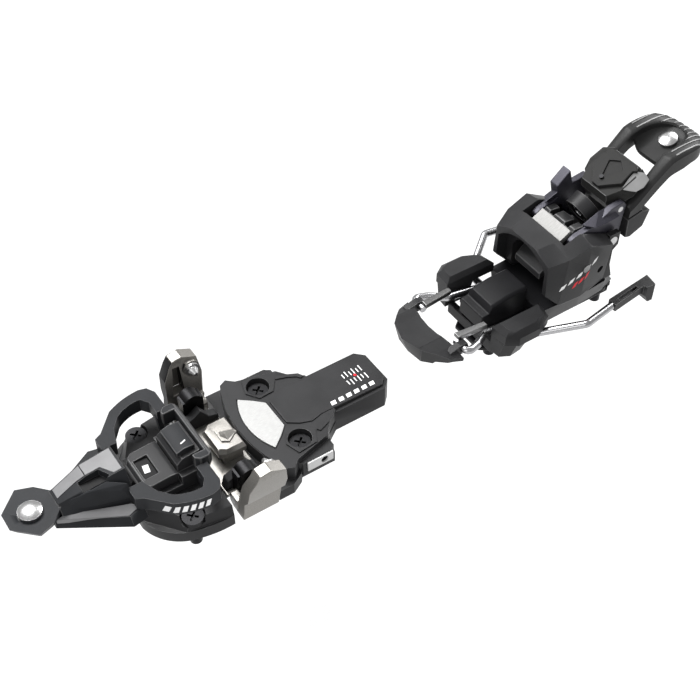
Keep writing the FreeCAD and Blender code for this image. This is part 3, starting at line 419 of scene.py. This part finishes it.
def facets(name, points, material, body, width=0.2):
    """A convex faceted piece through millimetre points."""
    shell = hull(points)
    bm = bmesh.new()
    bm.from_mesh(shell.data)
    discard(shell)
    join_flat_faces(bm)
    round_edges(bm, width * MM, FACET_LIMIT)
    made = finish_mesh(bm, name, material)
    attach(made, body)
    return made


def dashes(name, start, step, count, size, lean, material, body):
    """A row of plain slanted dashes that lie level, each a thin plate."""
    along, wide = Vector(step).normalized(), Vector((-step[1], step[0], 0)).normalized()
    for i in range(count):
        corner = Vector(start) + Vector(step) * i
        face = [corner, corner + along * size[0], corner + along * (size[0] + lean) + wide * size[1],
                corner + along * lean + wide * size[1]]
        plate("%s_%d" % (name, i), face, MARK_DEPTH, material, body, MARK_EDGE)


def spline(points, count):
    """Points evenly spread along a smooth line through the given ones."""
    out = []
    spans = len(points) - 1
    for step in range(count):
        where = step * spans / (count - 1)
        i = min(int(where), spans - 1)
        t = where - i
        p0, p1 = Vector(points[max(i - 1, 0)]), Vector(points[i])
        p2, p3 = Vector(points[i + 1]), Vector(points[min(i + 2, spans)])
        out.append(0.5 * (2 * p1 + (p2 - p0) * t + (2 * p0 - 5 * p1 + 4 * p2 - p3) * t * t
                          + (3 * p1 - p0 - 3 * p2 + p3) * t ** 3))
    return out


def swept_band(bm, sections):
    """A closed solid through a row of closed sections with equal point counts."""
    rings = [[bm.verts.new(Vector(p) * MM) for p in section] for section in sections]
    count = len(rings[0])
    for here, after in zip(rings, rings[1:]):
        for i in range(count):
            bm.faces.new((here[i], here[(i + 1) % count], after[(i + 1) % count], after[i]))
    bm.faces.new(rings[0])
    bm.faces.new(list(reversed(rings[-1])))


# ------------------------------------------------------------------ toe unit

HEAD_X, HEAD_RIM_Z, HEAD_FLOOR_Z = -90.8, 27.9, 26.2
HEAD_DISH_RADIUS = 5.3
HEAD_RIM = [(-99.2, -3.7), (-99.2, 3.7), (-91.6, 11.2), (-85.7, 8.9), (-81.0, 4.0), (-81.0, -4.0),
            (-85.7, -8.9), (-91.6, -11.2)]


def circle(centre, radius, level, count=32):
    """Points of a level circle."""
    return [(centre[0] + radius * math.cos(2 * math.pi * i / count),
             centre[1] + radius * math.sin(2 * math.pi * i / count), level) for i in range(count)]


def front_lever():
    """Front lever: dished head, pale inlays on its spine and right wing, dashes on its right loop."""
    rim = [(x, y, HEAD_RIM_Z) for x, y in HEAD_RIM]
    dish = hull(rim + circle((HEAD_X, 0), HEAD_DISH_RADIUS, HEAD_FLOOR_Z))
    made = refine("front_lever", 0.5, cuts=[dish])
    spine_rear = [(-66.0, 5.8, 33.35), (-52.4, 6.2, 34.75), (-52.4, -6.2, 34.75), (-56.0, -6.2, 34.4),
                  (-59.6, -0.2, 34.0), (-66.0, -0.2, 33.35)]
    plate("lever_inlay_rear", spine_rear, 0.8, MATERIALS["pale_inlay"], "front_handle")
    spine_front = [(-79.4, 3.6, 29.25), (-66.4, 5.8, 33.3), (-66.4, -0.2, 33.3), (-71.0, -0.2, 31.85),
                   (-79.4, -1.6, 29.25)]
    plate("lever_inlay_front", spine_front, 0.8, MATERIALS["pale_inlay"], "front_handle")
    wing = [(-83.2, -6.0, 22.4), (-79.6, -7.0, 24.6), (-66.0, -11.2, 23.2), (-54.4, -15.4, 22.6),
            (-51.6, -17.6, 22.0), (-57.6, -19.6, 21.7), (-64.0, -16.2, 21.7)]
    plate("lever_inlay_wing", wing, 2.4, MATERIALS["pale_inlay"], "front_handle")
    strake = [(-78.4, -6.4, 25.6), (-78.0, -4.6, 28.6), (-68.6, -7.4, 31.6), (-68.0, -10.6, 25.4),
              (-56.4, -12.6, 29.6), (-53.0, -14.4, 24.4), (-53.0, -12.0, 31.4), (-60.0, -7.4, 32.6),
              (-60.0, -4.0, 28.0), (-76.0, -3.0, 26.0)]
    facets("lever_strake", strake, MATERIALS["lever_plastic"], "front_handle", 0.3)
    # Painted shade: a near-black plate stands for the shade inside the lever's triangular recess.
    recess = [(-70.0, -1.0, 30.2), (-60.9, -0.9, 30.2), (-58.4, -5.9, 30.2), (-60.0, -6.6, 30.2),
              (-69.6, -6.0, 30.2)]
    plate("lever_recess", recess, 0.8, PAINTED_RECESS_SHADE, "front_handle", 0.05)
    low, high = 22.4, 26.0
    for i in range(6):
        front = -45.6 + 3.1 * i
        dash = [(front, low), (front + 1.9, low), (front + 3.0, high), (front + 1.1, high)]
        drape("loop_dash_%d" % i, made, dash, WHITE_PRINT, "front_handle", "Y", -1,
              lift=PRINT_LIFT, depth=0.3, grid=PRINT_GRID)


front_lever()

# Nodes that keep their own shape, with the width in millimetres that their edges are rounded to.
ROUNDED = {
    "toe_tower": 0.4, "mode_block": 0.4, "release_frame": 0.5,
    "value_block": 0.35, "toe_badge": 0.2, "crampon_plates": 0.15, "mode_tile": 0.1, "toe_slide_plate": 0.3,
    "toe_center_block": 0.45, "toe_cheeks": 0.6, "hinge_hub_left": 0.45, "hinge_hub_right": 0.45,
    "pin_lever_left": 0.6, "pin_lever_right": 0.6, "heel_track": 0.3, "heel_carriage": 0.5,
    "heel_base_block": 0.6, "brake_frame": 0.4, "support_pad_left": 1.5, "support_pad_right": 1.5,
    "brake_pedal": 0.7, "brake_tip_left": 0.5, "brake_tip_right": 0.5, "brake_link_left": 0.3,
    "brake_link_right": 0.3, "heel_strut_left": 0.4, "heel_strut_right": 0.4,
    "heel_jaw": 0.4, "jaw_plate": 0.2, "fork_left": 0.5, "fork_right": 0.5, "spring_barrel": 0.4,
    "lever_block": 0.5,
}
FORMS = {node_name: refine(node_name, edge_width) for node_name, edge_width in ROUNDED.items()}

DECK_LOW, DECK_TOP = 12.6, 14.1
RIM_FRONT, RIM_REAR, RIM_BEND = 4.2, 6.6, 133.0
RIDGE_FOOT = 9.0
SCREW_CENTRE, SCREW_WELL_RADIUS = (24.1, 18.0), 5.4
PANEL_FRONT, PANEL_TOP, PANEL_SLOPE = 23.8, 14.3, 0.022
PRINT_TOP = 14.42


def toe_base():
    """Base with a raised rim along its front edge, a raised middle panel and bosses round its rear screws."""
    low, top = DECK_LOW, DECK_TOP
    reach = range(-24, 25, 3)
    rim = [(RIM_FRONT + y * y / RIM_BEND, y) for y in reach]
    rim += [(RIM_REAR + y * y / RIM_BEND, y) for y in reversed(reach)]
    adds = [prism(rim, low, top)]
    cuts = []
    for side in (1, -1):
        boss = [(17.4, 17.4), (21.4, 11.6), (28.8, 12.0), (32.6, 17.2), (29.4, 23.6), (19.6, 24.6)]
        adds.append(prism([(x, side * y) for x, y in boss], low, top))
        well = [(x, side * y) for x, y, _ in circle(SCREW_CENTRE, SCREW_WELL_RADIUS, 0)]
        cuts.append(prism(well, low - 1, top + 1))
        ridge = [(33.0, 17.6), (38.4, 15.8), (42.2, 13.6), (43.2, 12.0), (45.0, 12.4), (43.6, 15.0),
                 (38.8, 17.4), (34.0, 19.2)]
        adds.append(prism([(x, side * y) for x, y in ridge], RIDGE_FOOT, top))
    refine("toe_base", 0.45, cuts, adds)
    panel = [(23.8, 7.2), (28.6, 10.6), (34.0, 12.6), (40.0, 11.2), (72.4, 11.2), (75.4, 8.2)]
    face = [(x, y, PANEL_TOP - PANEL_SLOPE * (x - PANEL_FRONT)) for x, y in panel]
    face += [(x, -y, z) for x, y, z in reversed(face)]
    plate("base_panel", face, 3.2, MATERIALS["base_plastic"], "base", 0.5)


def scale_marks():
    """Plain ticks in two rows, one red dot and a row of dashes on the tongue."""
    for row, side in ((0, 1), (1, -1)):
        for i in range(6):
            x = 59.6 + 1.9 * i
            length = 3.6 if i % 2 else 2.6
            y0, y1 = (0.9, 0.9 + length) if side > 0 else (-0.9 - length, -0.9)
            z = PRINT_TOP - PANEL_SLOPE * (x - PANEL_FRONT)
            tick = [(x, y0, z), (x + 0.5, y0, z), (x + 0.5, y1, z), (x, y1, z)]
            plate("scale_tick_%d_%d" % (row, i), tick, MARK_DEPTH, WHITE_PRINT, "base",
                  MARK_EDGE)
    dot_x = 65.0
    z = PRINT_TOP - PANEL_SLOPE * (dot_x - PANEL_FRONT)
    plate("scale_dot", circle((dot_x, 0.2), 0.75, z, 16), MARK_DEPTH, RED_PRINT, "base",
          MARK_EDGE)
    dashes("tongue_dash", start=(46.0, -10.0, 13.95), step=(4.2, 0.12, -0.09), count=6, size=(2.6, 2.2),
           lean=0.5, material=WHITE_PRINT, body="base")


def window_marks():
    """Plain marks in the two windows of the toe unit."""
    # Painted shade: the tile seen through the window is made near-black.
    FORMS["mode_tile"].data.materials[0] = PAINTED_RECESS_SHADE
    low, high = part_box("mode_tile")
    x, y, z = (low[0] + high[0]) / 2 / MM, (low[1] + high[1]) / 2 / MM, high[2] / MM + 0.12
    mark = [(x - 1.7, y - 2.2, z), (x + 0.9, y - 2.6, z), (x + 1.7, y + 1.6, z), (x - 0.9, y + 2.0, z)]
    plate("mode_mark", mark, WINDOW_MARK_DEPTH, WHITE_PRINT, "base", MARK_EDGE)
    low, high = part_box("value_block")
    x, z = (low[0] + high[0]) / 2 / MM, high[2] / MM + 0.1
    mark = [(x - 0.6, -4.8, z), (x + 2.0, -3.9, z), (x + 1.9, -3.3, z), (x - 0.7, -4.2, z)]
    plate("value_mark", mark, WINDOW_MARK_DEPTH, WHITE_PRINT, "base", MARK_EDGE)


def recolour(piece, material, test):
    """Give the faces of a piece that pass a test, by centre and normal, another material."""
    piece.data.materials.append(material)
    for face in piece.data.polygons:
        if test(face.center / MM, face.normal):
            face.material_index = len(piece.data.materials) - 1


def toe_finishes_and_painted_shade():
    """Painted shade on the outward side of the left lever, dark hubs and cheeks, pale lug plates, arrow on
    the middle block.
    """
    dark = MATERIALS["dark_steel"]
    # Painted shade: faces of the left lever that turn outward are made dark steel.
    recolour(FORMS["pin_lever_left"], dark, lambda at, way: way.y > 0.35 or (way.x < -0.6 and at.y > 33))
    for hub in ("hinge_hub_left", "hinge_hub_right"):
        recolour(FORMS[hub], dark, lambda at, way: at.z > 6)
    recolour(FORMS["toe_cheeks"], MATERIALS["base_plastic"], lambda at, way: True)
    recolour(FORMS["crampon_plates"], LUG_PLASTIC, lambda at, way: True)
    arrow = [(-5.4, 2.0, 17.8), (1.6, -0.2, 17.8), (1.9, -2.2, 17.8), (-3.9, -4.9, 17.8),
             (-6.0, -0.8, 17.8), (-3.6, -1.2, 19.2), (0.2, -1.3, 18.7)]
    facets("centre_arrow", arrow, MATERIALS["forged_steel"], BODY_OF["toe_center_block"],
           0.12)


toe_base()
scale_marks()
window_marks()
toe_finishes_and_painted_shade()


# ------------------------------------------------------------------ heel unit

def heel_housing():
    """Housing with plain slanted stripes, five white and three red, on its right side."""
    made = refine("heel_housing", 1.6, segments=4)
    white_corners = ((0.0, 0.0), (2.6, 1.3), (3.6, 4.1), (1.0, 2.8))
    red_corners = ((0.0, 0.0), (2.0, 1.0), (3.2, 4.2), (1.2, 3.2))
    rows = (("housing_stripe_%d", 5, (166.0, 29.0), (4.4, 2.2), white_corners, WHITE_PRINT),
            ("housing_dash_%d", 3, (173.4, 27.6), (3.2, 1.6), red_corners, RED_PRINT))
    for name, count, start, step, corners, ink in rows:
        for i in range(count):
            front = start[0] + step[0] * i
            low = start[1] + step[1] * i
            stripe = [(front + along, low + up) for along, up in corners]
            drape(name % i, made, stripe, ink, "heel_slider", "Y", -1, lift=PRINT_LIFT,
                  depth=0.2, grid=PRINT_GRID)


def rear_brace():
    """Plain brace that closes the back of the housing below the heel lever."""
    face = [(196.4, -14.8, 38.0), (204.4, -14.8, 36.4), (204.4, 14.8, 36.4), (196.4, 14.8, 38.0)]
    plate("heel_rear_brace", face, 9.0, MATERIALS["housing_plastic"], "heel_slider", 0.6)


# The ring's section is a band with a slight crown, rounded corners and a flat underside.
RING_SECTIONS = 34
RING_CROWN, RING_CROWN_AT = 0.3, (0.35, 0.65)
RING_DEPTH, RING_SIDE_DEPTH = 9.6, 9.0
RING_CORNER, RING_SOFT = 1.2, 0.6


def heel_lever():
    """Long lever: two rails that rise to a ring round a spoon-shaped recess."""
    outer = [(209.6, 16.6, 55.4), (213.6, 16.6, 58.2), (222.6, 16.8, 66.8), (229.6, 17.1, 73.0),
             (233.0, 17.3, 75.2), (241.0, 17.3, 76.3), (249.6, 16.2, 76.2), (256.0, 12.4, 74.6),
             (260.2, 6.8, 72.4), (261.6, 0.0, 71.4)]
    inner = [(209.6, 10.9, 55.6), (213.6, 10.9, 58.4), (222.6, 10.4, 67.0), (229.2, 10.0, 73.1),
             (232.4, 9.9, 75.0), (239.0, 10.2, 75.9), (245.6, 9.2, 75.9), (250.0, 6.8, 75.5),
             (252.6, 3.6, 75.1), (253.2, 0.0, 74.9)]
    under = [(209.6, 49.6), (219.0, 51.6), (236.0, 64.8), (244.0, 67.7), (257.0, 67.5), (264.6, 65.6)]

    def low_at(x):
        for (x0, z0), (x1, z1) in zip(under, under[1:]):
            if x <= x1:
                return z0 + (z1 - z0) * (x - x0) / (x1 - x0)
        return under[-1][1]

    left_outer, left_inner = spline(outer, RING_SECTIONS), spline(inner, RING_SECTIONS)
    right_outer = [Vector((p.x, -p.y, p.z)) for p in reversed(left_outer[:-1])]
    right_inner = [Vector((p.x, -p.y, p.z)) for p in reversed(left_inner[:-1])]
    sections = []
    for out, into in zip(left_outer + right_outer, left_inner + right_inner):
        across = Vector((out.x - into.x, out.y - into.y, 0.0))
        unit = across / across.length
        low_out, low_in = low_at(out.x), low_at(into.x)
        side_out = max(low_out + RING_SOFT, out.z - RING_SIDE_DEPTH)
        side_in = max(low_in + RING_SOFT, into.z - RING_SIDE_DEPTH)
        crown = [into + across * share + Vector((0, 0, (out.z - into.z) * share + RING_CROWN))
                 for share in RING_CROWN_AT]
        sections.append([
            into + unit * 0.7,
            *crown,
            out - unit * RING_CORNER,
            Vector((out.x, out.y, out.z - RING_CORNER)),
            Vector((out.x, out.y, side_out)) - unit * 0.3,
            Vector((out.x, out.y, max(low_out, out.z - RING_DEPTH))) - unit * RING_CORNER,
            Vector((into.x, into.y, max(low_in, into.z - RING_DEPTH))) + unit * 0.9,
            Vector((into.x, into.y, side_in)) + unit * 0.2,
            Vector((into.x, into.y, into.z - 0.8))])
    bm = bmesh.new()
    swept_band(bm, sections)
    made = finish_mesh(bm, "heel_lever_ring", MATERIALS["handle_plastic"], RING_SHARP)
    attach(made, "heel_handle")
    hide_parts("heel_lever")
    return made


SPOON_ROWS, SPOON_COLUMNS = 18, 21
SPOON_FRONT, SPOON_ROUND_FROM, SPOON_REAR = 233.4, 240.5, 254.0
SPOON_ROUND_LENGTH = 13.6
SPOON_HALF_FRONT, SPOON_HALF, SPOON_HALF_LEAST = 10.9, 11.4, 1.2
SPOON_RIM, SPOON_RIM_SLOPE, SPOON_RIM_DROP = 73.9, 0.05, 0.6
SPOON_FLOOR, SPOON_FLOOR_SLOPE, SPOON_FLOOR_LENGTH = 66.3, 0.344, 14.6
SPOON_END_FROM, SPOON_END_LENGTH = 248.0, 6.0
SPOON_THICKNESS = 2.0


def spoon_row(x):
    """Half width, floor height and rim height of the recess at one place along the lever."""
    past_front = x - SPOON_FRONT
    if x > SPOON_ROUND_FROM:
        half = SPOON_HALF * math.sqrt(max(0.0, 1 - ((x - SPOON_ROUND_FROM) / SPOON_ROUND_LENGTH) ** 2))
    else:
        widening = (SPOON_HALF - SPOON_HALF_FRONT) / (SPOON_ROUND_FROM - SPOON_FRONT)
        half = SPOON_HALF_FRONT + widening * past_front
    rim = SPOON_RIM + SPOON_RIM_SLOPE * past_front
    floor_z = SPOON_FLOOR + SPOON_FLOOR_SLOPE * min(past_front, SPOON_FLOOR_LENGTH)
    end_share = min(1.0, max(0.0, (x - SPOON_END_FROM) / SPOON_END_LENGTH) ** 2)
    return max(half, SPOON_HALF_LEAST), floor_z + (rim - floor_z) * end_share, rim


def spoon():
    """Dished recess inside the ring, rising to the rear."""
    rows, columns = SPOON_ROWS, SPOON_COLUMNS
    bm = bmesh.new()
    grids = []
    for thickness in (0.0, SPOON_THICKNESS):
        grid = []
        for r in range(rows):
            x = SPOON_FRONT + (SPOON_REAR - SPOON_FRONT) * r / (rows - 1)
            half, floor_z, rim = spoon_row(x)
            line = []
            for c in range(columns):
                t = -1 + 2 * c / (columns - 1)
                z = floor_z + (rim - SPOON_RIM_DROP - floor_z) * abs(t) ** 5
                line.append(bm.verts.new(Vector((x, half * t, z - thickness)) * MM))
            grid.append(line)
        grids.append(grid)
    top, bottom = grids
    for r in range(rows - 1):
        for c in range(columns - 1):
            bm.faces.new((top[r][c], top[r][c + 1], top[r + 1][c + 1], top[r + 1][c]))
            bm.faces.new((bottom[r][c], bottom[r + 1][c], bottom[r + 1][c + 1], bottom[r][c + 1]))
    for r in range(rows - 1):
        for c in (0, columns - 1):
            bm.faces.new((top[r][c], top[r + 1][c], bottom[r + 1][c], bottom[r][c]))
    for c in range(columns - 1):
        for r in (0, rows - 1):
            bm.faces.new((top[r][c], top[r][c + 1], bottom[r][c + 1], bottom[r][c]))
    made = finish_mesh(bm, "heel_lever_spoon", MATERIALS["handle_plastic"], RING_SHARP)
    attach(made, "heel_handle")


RIB_COUNT, RIB_SPACING, FIRST_RIB_Y, RIB_HALF_WIDTH = 10, 3.35, 14.9, 0.3
RAIL_RIB_START, RIB_PAST_SPOON = 235.0, 10.3
# Ellipses that the ribs start and end on: centre along X, half length along X, half width along Y.
RIB_START = (239.6, 14.0, 10.4)
RIB_END = (246.4, 14.6, 16.9)


def on_ellipse(ellipse, y):
    """Rear point of an ellipse at one place across."""
    centre, half_length, half_width = ellipse
    return centre + half_length * math.sqrt(1 - (y / half_width) ** 2)


def grip_ribs(ring):
    """Raised ribs that run along the lever over its ring."""
    for i in range(RIB_COUNT):
        y = FIRST_RIB_Y - RIB_SPACING * i
        start = on_ellipse(RIB_START, y) if abs(y) < RIB_PAST_SPOON else RAIL_RIB_START
        end = on_ellipse(RIB_END, y)
        near, far = y - RIB_HALF_WIDTH, y + RIB_HALF_WIDTH
        strip = [(start, near), (end, near), (end, far), (start, far)]
        # Painted highlight: the ribs are pale to stand for the light caught along their ridges.
        drape("grip_rib_%d" % i, ring, strip, PALE_WING_AND_RIB_HIGHLIGHT, "heel_handle", lift=0.3,
              depth=0.8, grid=1.4)


# The climbing aid has its own frame at its hinge: u along it to the rear, v across and w up from it.
RISER_TILT = math.radians(25.0)
RISER_HINGE = (205.0, 56.5)
CAP_FOOT, CAP_TOP = 7.0, 9.5
KITE_FLOOR, KITE_ABOVE = 8.6, 12.0


def tilted(points):
    """Points of the climbing aid's own frame placed in the scene's frame."""
    cosine, sine = math.cos(RISER_TILT), math.sin(RISER_TILT)
    return [(RISER_HINGE[0] + cosine * u - sine * w, v, RISER_HINGE[1] + sine * u + cosine * w)
            for u, v, w in points]


def riser():
    """Climbing aid: faceted cheeks, a cap with a kite-shaped recess and a pale wing on its right side."""
    cheek = [(0.5, 9.0, 0.0), (0.5, 9.0, 6.6), (3.0, 13.4, 0.5), (3.0, 12.6, 6.0), (8.0, 15.4, 0.8),
             (8.5, 14.6, 6.8), (16.0, 15.2, 3.0), (16.5, 14.0, 7.4), (20.0, 10.0, 4.0), (20.0, 9.0, 7.4),
             (10.0, 9.0, 7.4)]
    low_cheek = [(0.5, -9.0, 0.0), (0.5, -9.0, 6.0), (3.0, -12.4, 0.5), (3.0, -11.2, 5.4), (8.0, -14.0, 0.8),
                 (9.0, -10.6, 5.6), (16.0, -13.6, 2.2), (17.0, -10.6, 5.4), (20.0, -10.0, 3.6),
                 (20.0, -9.0, 5.6)]
    refine("riser_body", 0.5, adds=[hull(tilted(cheek)), hull(tilted(low_cheek))])
    half = [(-1.0, 2.2), (6.8, 9.8), (14.6, 8.8), (16.0, 10.4), (18.2, 8.0), (17.2, 1.6)]
    outline = half + [(u, -v) for u, v in reversed(half)]
    points = tilted([(u, v, level) for level in (CAP_FOOT, CAP_TOP) for u, v in outline])
    block = solid_from(points, prism_faces(len(outline)))
    kite_outline = ((2.4, 0.0), (12.4, 4.6), (15.4, 0.0), (12.4, -4.6))
    kite = hull(tilted([(u, v, level) for level in (KITE_FLOOR, KITE_ABOVE) for u, v in kite_outline]))
    bm = bmesh.new()
    bm.from_mesh(block.data)
    combine(bm, [kite], "DIFFERENCE")
    round_edges(bm, 0.3 * MM)
    cap = finish_mesh(bm, "riser_cap_form", MATERIALS["riser_plastic"])
    discard(block)
    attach(cap, "climbing_aid")
    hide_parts("riser_cap")
    wing = [(5.0, -11.0, 7.6), (12.0, -9.2, 8.0), (16.0, -9.0, 8.2), (18.6, -12.4, 7.0), (18.0, -15.6, 5.0),
            (13.6, -16.4, 4.2), (9.4, -15.6, 4.6), (6.0, -10.0, 5.0), (17.0, -10.0, 4.5)]
    facets("riser_wing", tilted(wing), PALE_WING_AND_RIB_HIGHLIGHT, "climbing_aid", 0.25)


def fork_flanges():
    """Faceted flanges along the tops of both forks."""
    right = [(184.0, -11.0, 54.4), (188.0, -16.4, 54.4), (194.0, -11.0, 58.4), (198.0, -17.0, 55.0),
             (201.0, -11.2, 58.8), (203.0, -16.4, 55.0), (203.0, -12.0, 54.0), (186.0, -12.0, 52.6)]
    facets("fork_flange_right", right, MATERIALS["fork_alloy"], BODY_OF["fork_right"], 0.3)
    left = [(180.0, 11.0, 54.4), (184.0, 15.4, 54.6), (190.0, 11.0, 58.4), (196.0, 16.0, 57.4),
            (200.0, 11.2, 59.6), (198.0, 12.0, 54.6), (184.0, 12.0, 52.6)]
    facets("fork_flange_left", left, MATERIALS["fork_alloy"], BODY_OF["fork_left"], 0.3)


heel_housing()
rear_brace()
lever_ring = heel_lever()
spoon()
grip_ribs(lever_ring)
riser()
fork_flanges()

# The nodes that stay visible as they are get their slot's material, but for the climbing aid's dark screw.
REPLACED = set(ROUNDED) | {"toe_base", "front_lever", "heel_housing", "heel_lever", "riser_body",
                           "riser_cap"}
OTHER_FINISH = {"riser_screw": MATERIALS["dark_steel"]}
for node_name in frame["nodes"]:
    if node_name not in REPLACED:
        node = bpy.data.objects[node_name]
        node.data.materials.clear()
        node.data.materials.append(OTHER_FINISH.get(node_name, MATERIALS[SLOT_OF[node_name]]))


# ------------------------------------------------------------------ floor, light and camera

FLOOR_Z = -0.080
FLOOR_REACH = 3.0
FLOOR_SHADE, FLOOR_GLOW = 0.14, 0.90
WORLD_STRENGTH = 0.55

corners = [(x * FLOOR_REACH, y * FLOOR_REACH, FLOOR_Z) for x, y in ((-1, -1), (1, -1), (1, 1), (-1, 1))]
floor_mesh = bpy.data.meshes.new("floor")
floor_mesh.from_pydata(corners, [], [(0, 1, 2, 3)])
floor = bpy.data.objects.new("floor", floor_mesh)
bpy.context.scene.collection.objects.link(floor)
floor_material, _, _, floor_shader = new_material("floor")
floor_shader.inputs["Base Color"].default_value = (FLOOR_SHADE, FLOOR_SHADE, FLOOR_SHADE, 1)
floor_shader.inputs["Roughness"].default_value = 0.9
floor_shader.inputs["Specular IOR Level"].default_value = 0.0
floor_shader.inputs["Emission Color"].default_value = (1, 1, 1, 1)
floor_shader.inputs["Emission Strength"].default_value = FLOOR_GLOW
floor_mesh.materials.append(floor_material)

world = bpy.data.worlds.new("studio")
bpy.context.scene.world = world
world.use_nodes = True
world.node_tree.nodes["Background"].inputs["Color"].default_value = (1, 1, 1, 1)
world.node_tree.nodes["Background"].inputs["Strength"].default_value = WORLD_STRENGTH
bpy.context.scene.view_settings.view_transform = "Standard"


def area_light(name, place, target, size, power):
    """A soft square lamp aimed at a point."""
    data = bpy.data.lights.new(name, "AREA")
    data.shape = "SQUARE"
    data.size = size
    data.energy = power
    lamp = bpy.data.objects.new(name, data)
    lamp.location = place
    lamp.rotation_mode = "QUATERNION"
    lamp.rotation_quaternion = (Vector(target) - Vector(place)).to_track_quat("-Z", "Y")
    bpy.context.scene.collection.objects.link(lamp)


MIDDLE = (0.09, 0.0, 0.02)
area_light("key", (-0.05, 0.45, 0.85), MIDDLE, size=0.6, power=15)
area_light("fill", (-0.75, -0.55, 0.55), MIDDLE, size=0.7, power=3)
area_light("rim", (0.85, 0.25, 0.55), MIDDLE, size=0.5, power=6)

AZIMUTH, PITCH = math.radians(33.733), math.radians(46.089)
CAMERA_PLACE = (-0.14306, -0.30741, 0.41555)
SENSOR_WIDTH, LENS = 36.0, 61.714
lens_data = bpy.data.cameras.new("camera")
lens_data.sensor_width = SENSOR_WIDTH
lens_data.lens = LENS
lens_data.clip_start, lens_data.clip_end = 0.01, 20.0
camera = bpy.data.objects.new("camera", lens_data)
forward = Vector((math.sin(AZIMUTH) * math.cos(PITCH), math.cos(AZIMUTH) * math.cos(PITCH),
                  -math.sin(PITCH)))
right = Vector((math.cos(AZIMUTH), -math.sin(AZIMUTH), 0.0))
upward = right.cross(forward)
camera.matrix_world = Matrix((
    (right.x, upward.x, -forward.x, CAMERA_PLACE[0]),
    (right.y, upward.y, -forward.y, CAMERA_PLACE[1]),
    (right.z, upward.z, -forward.z, CAMERA_PLACE[2]),
    (0, 0, 0, 1)))
bpy.context.scene.collection.objects.link(camera)
bpy.context.scene.camera = camera
